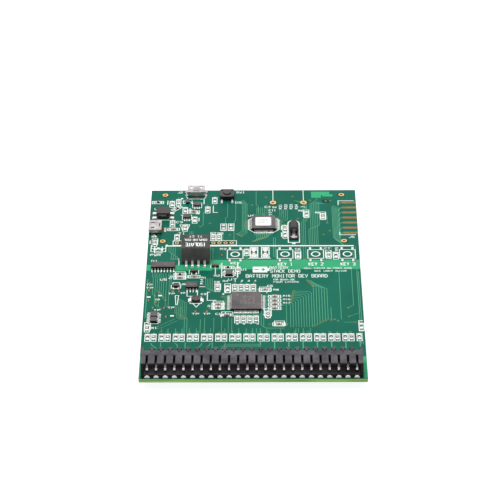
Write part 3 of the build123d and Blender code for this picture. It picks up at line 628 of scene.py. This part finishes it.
# ---------------- printed and etched artwork
# Places in this part are laid out on a board 88.9 by 137.16 and fitted to the frame's board.
FIT_X = HALF_W * 2 / 88.9
FIT_Y = HALF_L * 2 / 137.16
THIN = 0.24
PEN = 0.3


def fit(x, y):
    """A layout place on the frame's board."""
    return x * FIT_X, y * FIT_Y


def route(*path, width=THIN, end=False):
    """A copper track under the mask, with a via at its end if asked."""
    traces.line([fit(*spot) for spot in path], width)
    if end:
        via(*path[-1])


def tracks(first, step, count, start, stop, width=THIN):
    """Evenly spaced parallel tracks along the board."""
    for i in range(count):
        x = first + step * i
        route((x, start), (x, stop), width=width)


def plated_hole(x, y, radius, rim, steps=12):
    """A small plated through hole under the mask, at a place on the frame's board."""
    vias.ring(x, y, radius, rim, steps=steps)
    holes.disc(x, y, radius - 0.1, steps=steps - 4)


def via(x, y):
    """A plated through hole at a layout place."""
    plated_hole(*fit(x, y), 0.36, 0.26, steps=14)


def words(text, x, y, height=1.9, width=None, turn=0.0, pen=0.24):
    """Silk lettering: designators are printed small, headings at their full height."""
    size = height if pen > 0.3 else height * 0.72
    silk.text(text, *fit(x, y), size, pen, turn, width=width)


def bar(x, y, width, length):
    """A filled silk mark."""
    silk.box(*fit(x, y), width, length)


def pen_line(*path, width=PEN, closed=False):
    """A silk line."""
    silk.line([fit(*spot) for spot in path], width, closed)


def silk_box(x, y, width, length, pen=PEN):
    """A silk rectangle."""
    silk.outline(*fit(x, y), width, length, pen)


UPRIGHT = math.pi / 2
HEAVY = 0.35
dice = random.Random(11)


def part_boxes():
    """A silk rectangle round each chip part, worked out from its body."""
    for middle, size in resistors + capacitors:
        turn = chip_turn(size)
        lag = SILK_LAG if turn == UPRIGHT else 0.0
        silk.outline(middle.x, middle.y - lag, CHIP_SILK_W, CHIP_SILK_L, 0.32, turn=turn - UPRIGHT)
    for middle, size in lamps:
        for side in (-1, 1):
            silk.box(middle.x + side * 1.55, middle.y, 0.35, 4.6)
        silk.box(middle.x, middle.y - 2.4, 3.4, 0.4)


def part_outlines():
    """Silk outlines of the larger parts, worked out from their bodies."""
    spot = centre("controller_ic_body")
    silk.outline(spot.x, spot.y, 12.9, 12.9, HEAVY, cut=2.8)
    spot = centre("monitor_ic_body")
    reach = 8.3
    corner = 1.7
    for x_way in (-1, 1):
        for y_way in (-1, 1):
            x = spot.x + x_way * reach
            y = spot.y + y_way * reach
            silk.line([(x - x_way * corner, y), (x, y), (x, y - y_way * corner)], PEN)
    silk.disc(spot.x - reach - 1.0, spot.y + reach - 2.2, 0.45)
    for spot, size in islands("regulator_bodies"):
        silk.outline(spot.x, spot.y, size.x + 1.0, size.y + 1.0, 0.25)
        silk.disc(spot.x - size.x / 2 - 0.9, spot.y + size.y / 2 + 0.5, 0.3)
    for spot, size in islands("transistor_bodies"):
        for side in (-1, 1):
            silk.box(spot.x + side * 1.9, spot.y, 0.3, 2.6)
    spot, size = extent("choke_core")
    for side in (-1, 1):
        silk.box(spot.x, spot.y + side * (size.y / 2 + 1.0), 5.4, HEAVY)
    for node, margin in (("inductor_terminals", 0.6), ("choke_terminals", 0.5)):
        for middle, size in islands(node):
            pads.box(middle.x, middle.y, size.x + 0.9, size.y + margin)
    spot, size = extent("inductor_shield")
    half = size.x / 2 + 0.5
    for side in (-1, 1):
        edge = spot.y + side * half
        tip = spot.y + side * half * 0.56
        left = spot.x - half
        right = spot.x + half
        silk.line([(left, tip), (left, edge), (right, edge), (right, tip)], 0.28)


def rear_left_silk():
    """Marks round the two USB sockets and the button."""
    words("J2", -32, 66.9, 1.8)
    words("SW1", -5.6, 66.8, 1.8, 4.0)
    for node, ahead in (("rear_usb_contacts", (0, -1)), ("side_usb_contacts", (1, 0))):
        for middle, size in islands(node):
            if middle.z < TOP / MM + 0.4:
                spot = (middle.x + ahead[0] * 0.8, middle.y + ahead[1] * 0.8)
                pads.box(*spot, 0.4 + abs(ahead[0]) * 1.1, 0.4 + abs(ahead[1]) * 1.1)
    spot = centre("rear_usb_shell")
    silk.line([(spot.x - 4.6, spot.y - 1.6), (spot.x - 3.4, spot.y - 4.4), (spot.x + 3.4, spot.y - 4.4),
               (spot.x + 4.6, spot.y - 1.6)], HEAVY)
    words("D5", -6.5, 58.5, 1.8, 3.0)
    pen_line((-29.8, 67.5), (-28.8, 65.2))
    pen_line((-20.0, 67.5), (-21.0, 65.2))
    bar(-37.1, 58.6, 0.4, 3.2)
    bar(-21.4, 59.2, 0.4, 3.5)
    bar(-31.0, 61.8, 1.0, 0.9)
    pen_line((-17.3, 56.0), (-17.3, 50.6), (-15.3, 50.6), width=HEAVY)
    for x, y in ((-27.3, 53), (-25.6, 51.4), (-23.9, 50)):
        pen_line((x - 0.6, y - 0.5), (x + 0.6, y - 0.5), (x, y + 0.7), closed=True)
    words("C9", -31.6, 43, 1.8, 3.0)
    bar(-23.3, 45.1, 0.35, 2.7)
    pen_line((-31.3, 41), (-27.2, 41), (-28.0, 37.3), (-30.3, 37.3), closed=True)
    for x in (-12.7, -9.5):
        silk_box(x, 39.3, 2.4, 4.6)
        bar(x, 36.4, 2.8, 0.45)
        for side in (-1, 1):
            pads.box(*fit(x, 39.3 + side * 1.15), 1.3, 1.3)
    words("R7", -17.0, 34.2, 1.7, 2.6)
    words("R8", -14.0, 34.2, 1.7, 2.6)
    words("T1", -30.4, 34.2, 1.9, 3.0)
    silk_box(-41.6, 27.8, 2.4, 4.6)
    bar(-43.6, 27.5, 0.4, 2.6)
    pen_line((-42.9, 31.6), (-41.1, 31.6), (-42, 33.1), width=0.5, closed=True)
    words("L1", -41.3, 53.6, 1.8, 2.8)
    silk_box(-20.5, 26.9, 26.4, 3.3)
    rings.box(*fit(-20.5, 26.9), 25.8, 2.6)
    pen_line((-36.5, 25.6), (-36.5, 24.6), (-7.0, 24.6), (42.3, 24.4), width=0.8)


def rear_right_silk():
    """Marks round the controller, the empty USB-A footprint and the edge fingers."""
    words("U4", -1.0, 48, 1.8, 2.7)
    for x in (8.5, 21.7):
        pen_line((x, 60), (x, HALF_L / FIT_Y - 0.2))
    words("C4", 6.2, 55, 1.7, 2.8)
    words("5V", 9.2, 54.6, 1.4, 2.0)
    for x, mark in ((11.7, "R21"), (14.0, "R22"), (16.3, "R23"), (18.6, "R24")):
        words(mark, x, 55, 1.5, 4.0, UPRIGHT)
    silk.ring(*fit(21.3, 54.0), 1.1, PEN, 0.3, 2.2, steps=8)
    words("C11", 8.2, 52.2, 1.7, 3.2)
    words("Y1", 7.3, 49.6, 1.6, 3.0, UPRIGHT)
    silk_box(22.7, 49.7, 2.4, 5.3)
    words("R5", 20.4, 51.8, 1.5, 2.2)
    silk_box(29.9, 48, 2.4, 5.5)
    words("R6", 27.6, 50.3, 1.5, 2.2)
    pen_line((36.7, 56.6), (36.7, 59.7), (43.5, 59.7), width=HEAVY)
    pen_line((36.7, 35.0), (36.7, 32.8), (43.5, 32.8), width=HEAVY)
    words("J5", 41.6, 31.2, 1.7, 2.7)
    arch = [fit(14.8, 27.0)]
    spot = fit(17.15, 41.6)
    for i in range(13):
        turn = math.pi * (1 - i / 12)
        arch.append((spot[0] + 2.35 * math.cos(turn), spot[1] + 2.5 * math.sin(turn)))
    arch.append(fit(19.5, 27.0))
    silk.line(arch, 0.45, closed=True)
    pads.box(*fit(17.1, 26.4), 1.5, 1.4)
    for y in (33.1, 38.3):
        bar(12.0, y, 0.4, 3.4)
        bar(14.1, y, 0.3, 3.4)


def key_row():
    """Four empty push-button footprints with their labels, and the parts between them."""
    for i, x in enumerate((-7.6, 13.3, 26.1, 39.4)):
        silk_box(x, 18.2, 6.5, 6.5, HEAVY)
        silk.ring(*fit(x, 18.2), 1.7, 0.55, steps=32)
        for x_way in (-1, 1):
            for y_way in (-1, 1):
                spot = fit(x + x_way * 2.25, 18.0 + y_way * 4.5)
                pads.box(*spot, 0.95, 1.6)
                rings.box(*spot, 1.35, 2.0)
        if i:
            words("KEY " + str(i), x, 10.7, 2.0, 6.2, pen=0.32)
        else:
            words("KEY", x, 11.5, 1.9, 3.9, pen=0.3)
    for x in (0.3, 5.0):
        silk_box(x, 19.6, 3.1, 7.6, 0.4)
        bar(x, 15.1, 4.6, 0.4)
        for side in (-1, 1):
            pads.box(*fit(x, 19.6 + side * 2.35), 2.2, 2.3)
    silk_box(18.7, 17.9, 2.4, 5.2)
    words("C6", 18.7, 22.0, 1.6, 2.5)
    silk_box(31.4, 18.2, 2.4, 5.4)
    words("C7", 31.1, 22.4, 1.6, 2.5)
    silk_box(34.4, 17.7, 2.0, 3.8)
    words("R9", 35.0, 21.9, 1.5, 2.7, UPRIGHT)
    words("R3", -12.7, 22.2, 1.7, 2.8)
    pen_line((-43.0, 25.0), (-43.0, 20.3), (-36.8, 20.3), (-36.8, 25.0), width=HEAVY)
    pen_line((-43.0, 22.6), (-36.8, 22.6), width=HEAVY)
    words("PWR", -41.0, 17.8, 1.9, 4.6, pen=0.3)
    words("D1", -41.2, 13.2, 1.8, 2.9)
    words("T", -31.2, 14.4, 1.5)
    bar(-31.0, 11.9, 0.4, 3.6)


def title():
    """The board's generic title, its battery mark and the small print."""
    mark = fit(2.8, 6.7)
    silk.box(mark[0], mark[1], 6.0, 4.2)
    silk.box(mark[0] + 3.4, mark[1], 0.9, 2.0)
    signs = Sheet("battery_signs", TRACE, "solder_mask", lift=0.085)
    signs.box(mark[0] - 1.4, mark[1], 1.7, 0.6)
    signs.box(mark[0] + 1.3, mark[1], 1.7, 0.6)
    signs.box(mark[0] + 1.3, mark[1], 0.6, 1.9)
    signs.build()
    heading = Sheet("title_print", TITLE_INK, "label_paper", lift=0.06)
    for text, x, y, height, width, pen in (
        ("BATTERY", 10.6, 8.0, 1.8, 8.0, 0.32), ("STACK DEMO", 13.2, 5.5, 2.0, 12.4, 0.36),
        ("CELL INPUTS ON FRONT EDGE", 31.0, 7.6, 0.9, 19.8, 0.22),
        ("SEE USER GUIDE", 32.0, 5.6, 0.9, 13.6, 0.22),
        ("BATTERY MONITOR DEV BOARD", 13.8, 2.0, 2.2, 33.6, 0.36),
        ("FOR BENCH USE", 12.7, -0.7, 1.0, 8.8, 0.22), ("FOUR LAYERS", 13.5, -2.4, 1.0, 10.4, 0.22),
    ):
        heading.text(text, *fit(x, y), height, pen, width=width)
    heading.build()
    words("U1", -3.8, 6.8, 1.8, 2.7)
    bar(-13.1, 6.3, 0.35, 11.0)
    pen_line((-15.7, 3.4), (-15.7, 7.0))
    words("R2", -15.0, 2.3, 1.6, 2.6)
    bar(-11.8, 4, 0.3, 5.0)
    bar(-8.2, 4, 0.3, 5.0)
    words("U7", -8.6, -0.4, 1.8, 4.0)
    bar(-6.5, 6.5, 0.5, 11.0)


def middle_left_silk():
    """Marks round the isolated supply and the test pads."""
    words("U5", -37, -0.4, 1.8, 3.0)
    words("D3", -34, 1.2, 1.5, 2.6, UPRIGHT * 0.8)
    words("C2", -27.7, 1.6, 1.6, 2.6)
    words("R14", -21.2, -2.0, 1.4, 4.0, UPRIGHT)
    words("R1", -20.4, 0.8, 1.4, 2.2)
    bar(-21.0, -5.7, 2.2, 0.4)
    silk_box(-30.2, 2.5, 4.0, 5.5)
    silk_box(-31.7, -4.8, 2.6, 4.4)
    words("U6", -28.8, -3.8, 1.5, 2.4)
    for x, y, wide in ((-42.7, -4.2, 2.8), (-42.5, -6.5, 3.3), (-39.0, -15.0, 2.2), (-38.9, -22.3, 3.0),
                       (-33.3, -20.6, 3.0), (-33.4, -10.7, 3.0), (-28.8, -10.3, 2.3), (-23.3, -25.0, 3.3),
                       (-18.8, -25.0, 3.1)):
        words("TP", x, y, 1.5, wide)
    for x, y in ((-38.0, -12.0), (-42.6, -13.0), (-32.7, -26.3)):
        bar(x, y, 1.5, 0.9)
    pen_line((-31.8, -12.0), (-30.4, -12.0), (-30.8, -18.5), (-31.4, -18.5), closed=True)
    silk_box(-24.9, -10.3, 4.2, 4.4)
    words("C3", -20.3, -11.0, 1.5, 2.3)
    pen_line((-24.6, -17.6), (-21.6, -17.6), (-23.1, -20.2), width=HEAVY, closed=True)
    pen_line((-17.6, -9.6), (-18.7, -9.6), (-18.7, -15.5), (-15.0, -15.5), width=HEAVY)
    silk_box(-14.6, -5.8, 2.4, 4.5)
    silk_box(-10.5, -6.8, 2.4, 6.4)
    words("C8", -14.9, -2.3, 1.5, 2.4)
    words("R4", -11.4, -1.7, 1.5, 2.4)
    silk_box(-14.2, -18.9, 4.0, 5.6)
    words("Q1", -17.4, -19.5, 1.5, 2.3)
    silk_box(-10.5, -25.3, 4.4, 3.4)
    words("C1", -14.2, -25.0, 1.5, 2.2)


def monitor_silk():
    """Marks round the monitor chip."""
    for i in range(4):
        x = -7.4 + 2.75 * i
        words(str(i + 1), x, -1.5, 1.4)
        words(str(i + 5), x + 1.0, -31.8, 1.4)
    words("C5", 6.9, -5.2, 1.5, 2.6)
    silk_box(4.9, -7.7, 4.6, 3.2)
    words("R8", 9.3, -8.0, 1.4, 2.4)
    for y, mark in ((-12.4, "R15"), (-14.9, "R16"), (-17.4, "R17")):
        words(mark, 13.6, y, 1.2, 3.0)
    pen_line((4.5, -21.5), (7.3, -21.5), (7.3, -26.6), (5.9, -28.2), (4.5, -26.6), closed=True)
    silk_box(10.5, -31.8, 3.9, 3.4)
    pen_line((44.0, -30.0), (42.3, -30.0), (42.3, -37.0), (44.0, -37.0), width=HEAVY)
    silk_box(-42.3, -33.5, 2.4, 5.0)
    words("R1", -39.6, -34.7, 1.5, 2.4)


def header_marks():
    """White half-round contact marks that fill the arches under the header's front edge."""
    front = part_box("header_housing")[0][1] + 0.1 * MM
    depth = 0.5 * MM
    half_wide = 1.05 * MM
    high = 1.28 * MM
    steps = 12
    turns = [math.pi * i / steps for i in range(steps + 1)]
    marks = Lumps("header_marks", MARK_WHITE, "label_paper")
    for middle, size in pins:
        x = middle.x * MM
        marks.skin([[(x + half_wide * math.cos(a), y, TOP + high * math.sin(a)) for a in turns]
                    for y in (front, front + depth)])
    marks.build()


def pour_edges():
    """Wide copper areas that show lighter through the mask."""
    for i in range(7):
        x = 33.9 + 0.5 * i
        route((x + 0.8, 56.0 - 0.4 * i), (x, 54.6 - 0.4 * i), (x, 31.0 - 0.6 * i), (x + 1.4, 28.2 - 0.6 * i))
    for y in (-45.8, -46.5, -47.2):
        route((-13.0 + (y + 47) * 2, y), (2.0, y), (3.0, y - 1.0))
    for inset in (0.5, 1.2):
        route((HALF_W - inset, 5), (HALF_W - inset, -46), width=0.25)
    route((-43.5, 0), (-43.5, -28), width=0.3)
    for x in (-27.0, -26.3, -25.6):
        route((x, 36.0), (x, 32.5), (x + 0.8, 31.7))


def rear_tracks():
    """Tracks of the rear half: from the sockets and the button past the controller."""
    route((-11.1, 58), (-11.1, 47), (-11.9, 46.2), (-11.9, 36))
    route((-7.6, 60), (-7.6, 44), (-8.2, 43.2), (-8.2, 25))
    for i in range(4):
        x = -4.7 + 0.65 * i
        route((x - 1.8, 59 + 0.5 * i), (x, 57.2), (x, 36 - 0.6 * i), (x - 2.2, 33.6 - 0.6 * i), end=True)
    route((-21.5, 51), (-21.5, 40.6), (-22.6, 39.4), end=True)
    route((1.2, 68), (1.2, 56.5), (2.1, 55.6), (2.1, 49.5))
    tracks(1.5, 0.8, 8, 54.5, 48.6)
    for i in range(8):
        x = 1.5 + 0.8 * i
        route((x, 34.6), (x, 29.5 + 0.45 * i), (x - 1.6, 27.9 + 0.45 * i), end=True)
    for x in (8.5, 9.3):
        route((x, 31), (x, 16.5), (x + 1.4, 15.0), (x + 1.4, 13.8))
    for i in range(3):
        x = 21.5 + 0.75 * i
        route((x - 4 + 0.4 * i, 60.3 - 0.3 * i), (x, 57), (x, 44), (x - 0.9, 43), (x - 0.9, 25.2))
    for i in range(6):
        x = 24.5 + 0.75 * i
        route((x + 2.5, 60 - 0.5 * i), (x, 57.3), (x, 38 + 0.5 * i), (x - 0.9, 37 + 0.5 * i), (x - 0.9, 25.2))
    route((31.6, 48), (31.6, 42), end=True)
    for i in range(5):
        x = 11.4 + 0.8 * i
        y = 45.7 - 0.8 * i
        route((x, 53), (x, y + 1.8), (9.6, y), (8.9, y))
    for i in range(6):
        x = 12.2 + 0.3 * i
        y = 41.4 - 0.8 * i
        route((10.1, y), (x, y), (x + 0.7, y - 0.7), end=True)
    for i in range(6):
        route((-1.2, 43.6 - 0.8 * i), (-2.6 - 0.1 * i, 43.6 - 0.8 * i), end=(i % 2 == 0))
    each(
        via, (22.5, 54.4), (24.6, 60.2), (27.4, 61.0), (33.2, 59.8), (-18.6, 42.1), (12.8, 50.6),
        (19.0, 45.6), (-9.9, 33.0), (-0.6, 56.4), (5.4, 62.8), (17.0, 63.3), (32.5, 36.0), (29.8, 33.1),
    )
    for middle, size in islands("edge_fingers"):
        near = middle.x - size.x / 2
        lane = near - 1.6
        y = middle.y
        traces.line([(near, y), (near - 0.5, y), (lane, y - 1.4), (lane, y - 3.0)], 0.4)


def band_tracks():
    """Tracks that cross from the rear half to the front half."""
    for i in range(5):
        x = -19.6 + 0.7 * i
        route((x, 0.4), (x, -6.2 - 0.5 * i), (x + 1.8, -8.2 - 0.5 * i))
    for x, end in ((-41.6, -11), (-40.6, -18), (-39.8, -9), (-38.9, -20), (-38.1, -12), (-37.2, -14),
                   (-36.1, -19), (-34.9, -20), (-34.2, -8)):
        route((x, 4.2), (x, 1.8), (x + 0.4, 1.2), (x + 0.4, end), (x + 1.5, end - 1.3), end=True)
    for i in range(7):
        x = -31.6 + 0.75 * i
        route((x - 0.6, -12.4 - 0.7 * i), (x, -13.2 - 0.7 * i), (x, -24.0 - 0.7 * i), end=True)
    for i in range(4):
        x = -35.5 + 0.9 * i
        route((x, 24.0), (x, 20.4 - i), (x + 1.2, 19.0 - i), (x + 1.2, 14.5), end=True)
    for x, start, stop in ((-14.6, 33, 28.5), (-12.9, 35, 28.5), (-17.9, 24, 12.5), (-16.9, 23, 13.5),
                           (-3.5, 24, 14), (-2.6, 24, 14.5), (8.0, 14, 9.8), (19.9, 24, 14),
                           (21.1, 24, 14.4), (22.0, 24, 14.2), (32.8, 24, 14.2), (29.4, 24, 14.4)):
        route((x, start), (x, stop), end=True)
    for x in (-30.9, -30.0, -29.2):
        route((x, -20), (x, -27.2), (x + 1.6, -29.0))
    for k in (0.0, 1.1):
        route((-31.5 + k, -28.5 - k), (-37.5 + k, -33.2 - k), (-38.6, -34.0 - k), end=True)
    for x in (-27.6, -26.6, -21.2, -19.5, -15.8, -12.7, -10.0, -8.6):
        route((x, -26.5 - dice.uniform(0, 2.5)), (x, -38.0))
    route((35.4, 5), (35.4, -29))
    route((41.8, 24), (41.8, 13.2), (40.6, 12.0), (40.6, -19.0), (38.3, -21), end=True)
    route((42.9, 24), (42.9, -24.5), (38.5, -27), end=True)
    route((36.5, -31), (41, -31), end=True)
    route((31.4, -20.5), (31.4, -29.5), end=True)


def cell_tracks():
    """Two bundles from the monitor chip to the cell inputs along the front."""
    for i in range(6):
        x = 24.6 + 1.1 * i
        start = (22.2 + 0.45 * i, -1.2 - 0.85 * i)
        end = -33.4 + 0.9 * i
        route(start, (start[0] + 1.4, start[1] - 0.2), (x, start[1] - 1.8), (x, end + 1.1))
        each(via, start, (x, end))
        route((x, end + 1.1), (x, end))
    each(via, (32.7, -29), (34.0, -30))
    for i in range(9):
        x = 15.0 + 1.08 * i
        start = (15.0 + 0.2 * i, -17.4 + 1.05 * i)
        route(start, (x - 0.8, start[1] - 0.4), (x, start[1] - 1.4), (x, -34.4))
        via(*start)
    route((13.4, -18), (13.4, -33), end=True)
    for x in (3.2, 4.2):
        bend = -29.8 - x
        route((x, -20), (x, bend), (x + 1.2, bend - 1.3), (12.6, bend - 1.3))


def filter_tracks():
    """Short tracks into and out of the row of filter parts behind the header."""
    for x in (-36.5, -34, -31, -28.4, -25.5, -22.7, -17, -11.3, -5.8, -2.8, -0.3, 1.3, 2.8, 5.4, 11, 17, 18,
              20, 22.8):
        route((x, -35.0), (x, -38.4))
    for path in (((-40.5, -45), (-40.0, -46.5), (-38, -48.5)), ((-36.6, -44.5), (-36.6, -47.5)),
                 ((-31, -45), (-30, -46.2), (-30, -48.5)), ((-26.9, -44.5), (-26.9, -48.5)),
                 ((-20.3, -45), (-20.6, -46.4), (-22, -48.3)), ((-17, -45), (-17.4, -46.6), (-19, -48.5)),
                 ((-16.2, -44.5), (-16.2, -48.5)), ((-11, -45), (-11.4, -47.4), (-12.7, -49))):
        route(*path, width=0.4)
    tracks(2.8, 5.64, 8, -44.3, -48.8, 0.5)


def chip_escapes():
    """Tracks leaving the two large chips, worked out from their leads."""
    for chip, nearest, farthest in (("monitor_ic", 0.6, 2.6), ("controller_ic", 0.5, 2.2)):
        home = centre(chip + "_body").xy
        for middle, size in islands(chip + "_leads"):
            ahead = outward(middle, size, home)
            aside = Vector((ahead.y, ahead.x)) * dice.choice((-1, 1)) * 0.4
            start = middle.xy + ahead * max(size.x, size.y) / 2
            bend = start + ahead * dice.uniform(nearest, farthest)
            stop = bend + ahead * 0.4 + aside
            traces.line([start, bend, stop], 0.2)
            if dice.random() < 0.3:
                plated_hole(stop.x, stop.y, 0.3, 0.22)


def chip_stubs():
    """Tracks leaving both ends of every chip part, worked out from its body."""
    for middle, size in resistors + capacitors:
        turn = chip_turn(size)
        ahead = Vector((math.cos(turn), math.sin(turn)))
        for side in (-1, 1):
            start = middle.xy + ahead * side * 1.3
            bend = start + ahead * side * dice.uniform(1.2, 2.0)
            stop = bend + ahead * side * 0.5 + Vector((-ahead.y, ahead.x)) * dice.uniform(-0.6, 0.6)
            if abs(stop.x) > HALF_W - 0.6:
                continue
            traces.line([start, bend, stop], 0.3)
            if abs(stop.y) < 38 and dice.random() < 0.5:
                plated_hole(stop.x, stop.y, 0.34, 0.24)


def pad_rings():
    """Dark gaps in the mask round the bare gold pads."""
    for node, gap in (("test_pads", 0.35), ("corner_eyelets", 0.45), ("usb_a_eyelets", 0.5)):
        for middle, size in islands(node):
            rings.ring(middle.x, middle.y, size.x / 2 + gap / 2, gap, steps=24)
            if size.x > 1.0 and node == "test_pads" and middle.y > 50:
                rings.box(middle.x, middle.y, 3.1, 2.3)


def top_sheet(name, node, finish, slot, lift=0.012):
    """An empty sheet on the top of a part, and the part's middle."""
    return Sheet(name, finish, slot, floor=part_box(node)[1][2], lift=lift), centre(node)


def marks_on_parts():
    """Plain marks on the tops of the chips, the label and the transformer: generic words and pin-one dots."""
    laser, spot = top_sheet("monitor_marks", "monitor_ic_body", FAINT_INK, "ic_resin")
    for i, word in enumerate(("CELL", "MONITOR", "STACK", "BALANCE")):
        laser.text(word, spot.x - 1.7 + 1.5 * i, spot.y + 0.4, 1.1, 0.2, turn=UPRIGHT, width=6.0)
    laser.ring(spot.x + 3.9, spot.y - 4.1, 0.55, 0.12, steps=20)
    laser.disc(spot.x - 3.6, spot.y + 3.8, 0.5)
    laser.build()

    rows, spot = top_sheet("transformer_marks", "transformer_case", INK, "ferrite", 0.015)
    rows.text("ISOLATE", spot.x, spot.y - 2.6, 2.3, 0.42, turn=math.pi, width=8.6)
    rows.text("COUPLING COIL", spot.x, spot.y + 0.9, 1.3, 0.24, turn=math.pi, width=9.6)
    rows.text("T1 CT", spot.x, spot.y + 3.5, 1.2, 0.24, turn=math.pi, width=5.6)
    rows.build()

    note, spot = top_sheet("label_marks", "controller_label", LABEL_INK, "label_paper", 0.01)
    note.text("CODE", spot.x, spot.y + 1.1, 1.1, 0.14, width=4.2)
    note.text("DEMO 1", spot.x, spot.y - 0.9, 1.1, 0.14, width=4.6)
    note.build()

    for node, word in (("driver_ic_body", "DRIVER"), ("memory_ic_body", "MEM")):
        laser, spot = top_sheet(node + "_marks", node, FAINT_INK, "ic_resin")
        laser.text(word, spot.x, spot.y, 1.0, 0.12)
        laser.build()


def snap_dome():
    """The button's snap dome: a copy of the CAD dome as an object of its own, with the CAD part hidden."""
    dome = bpy.data.objects.new("snap_dome", nodes["button_dome"].data.copy())
    bpy.context.collection.objects.link(dome)
    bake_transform(dome)
    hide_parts("button_dome")


def underside():
    """The back of the board: pads round the plated holes, long tracks and a generic legend."""
    back_pads = Sheet("back_pads", SOLDER, "tin_plate", floor=UNDER, lift=-0.06, sink=0.02)
    back_tracks = Sheet("back_tracks", TRACE, "solder_mask", floor=UNDER, lift=-0.03, sink=0.02)
    back_silk = Sheet("back_silk", INK, "label_paper", floor=UNDER, lift=-0.05, sink=0.02)
    for node in ("corner_eyelets", "usb_a_eyelets", "socket_row_eyelets"):
        for middle, size in islands(node):
            back_pads.ring(middle.x, middle.y, size.x / 2, 0.5, steps=24)
    for middle, size in pins:
        back_pads.ring(middle.x, TAIL_Y, 1.1, 0.4, steps=20)
        back_silk.ring(middle.x, TAIL_Y, 1.5, 0.2, steps=24)
    for i, (middle, size) in enumerate(pins):
        lane = middle.x * 0.62
        reach = -20 - 2.0 * (i % 5)
        bend = i % 3 - 44
        back_tracks.line([(middle.x, TAIL_Y + 1.5), (middle.x, bend), (lane, bend + 8), (lane, reach)], 0.4)
        back_pads.ring(lane, reach, 0.4, 0.3, steps=12)
    for i in range(12):
        x = -30 + 5.2 * i
        bend = 6 * math.sin(i * 1.7)
        back_tracks.line([(x, 60 - 3 * (i % 4)), (x, 35 + bend), (x + 3, 30 + bend), (x + 3, 4 - bend)], 0.35)
        back_pads.ring(x + 3, 4 - bend, 0.4, 0.3, steps=12)
        back_pads.ring(x, 60 - 3 * (i % 4), 0.4, 0.3, steps=12)
    back_silk.outline(0, 0, 40, 16, 0.3)
    for x in range(-4, 5):
        back_silk.box(x * 4, -6, 3.0, 0.3)
    for layer in (back_pads, back_tracks, back_silk):
        layer.build()


for section in (part_boxes, part_outlines, rear_left_silk, rear_right_silk, key_row, title, middle_left_silk,
                monitor_silk, header_marks, pour_edges, rear_tracks, band_tracks, cell_tracks, filter_tracks,
                chip_escapes, chip_stubs, pad_rings, marks_on_parts, snap_dome, underside):
    section()

# ---------------- camera, light and floor
CAMERA_PITCH = math.radians(33.33)
CAMERA_ROLL = math.radians(0.496)
CAMERA_YAW = math.radians(-0.592)
CAMERA_PLACE = Vector((0.0026, -0.7629, 0.5207 + TOP))
CAMERA_LENS = 169.8
SKY_LIGHT = 0.35
FLOOR_GREY = (0.42, 0.42, 0.42)
FLOOR_GLOW = 0.88
FLOOR_REACH = 3.0


def look():
    """The camera, aimed by its pitch, roll and yaw."""
    lens = bpy.data.cameras.new("camera")
    lens.lens = CAMERA_LENS
    lens.sensor_width = 36.0
    eye = bpy.data.objects.new("camera", lens)
    aim = (Matrix.Rotation(-CAMERA_YAW, 4, "Z") @ Matrix.Rotation(math.pi / 2 - CAMERA_PITCH, 4, "X")
           @ Matrix.Rotation(-CAMERA_ROLL, 4, "Z"))
    eye.matrix_world = Matrix.Translation(CAMERA_PLACE) @ aim
    bpy.context.collection.objects.link(eye)
    bpy.context.scene.camera = eye


def softbox(name, place, size, power):
    """A square area light aimed at the middle of the floor."""
    lamp = bpy.data.lights.new(name, "AREA")
    lamp.size = size
    lamp.energy = power
    made = bpy.data.objects.new(name, lamp)
    made.location = place
    made.rotation_euler = (-Vector(place)).to_track_quat("-Z", "Y").to_euler()
    bpy.context.collection.objects.link(made)


def studio():
    """A pale floor under soft light from above."""
    corners = [(x * FLOOR_REACH, y * FLOOR_REACH, 0) for x, y in ((-1, -1), (1, -1), (1, 1), (-1, 1))]
    paper, tree, shader, place = material("floor_paper", FLOOR_GREY, 0.9, specular=0.1)
    shader.inputs["Emission Color"].default_value = (1, 1, 1, 1)
    shader.inputs["Emission Strength"].default_value = FLOOR_GLOW
    floor = mesh_object("floor", corners, [(0, 1, 2, 3)], paper)
    softbox("rear", (0.0, 0.95, 0.80), 1.1, 4)
    softbox("top", (-0.15, 0.15, 1.4), 1.2, 17)
    world = bpy.data.worlds.new("studio")
    world.use_nodes = True
    sky = world.node_tree.nodes["Background"]
    sky.inputs["Color"].default_value = (1, 1, 1, 1)
    sky.inputs["Strength"].default_value = SKY_LIGHT
    bpy.context.scene.world = world
    bpy.context.scene.view_settings.view_transform = "Standard"


look()
studio()

for layer in (silk, traces, bare, pads, rings, vias, holes):
    layer.build()
joints.build()
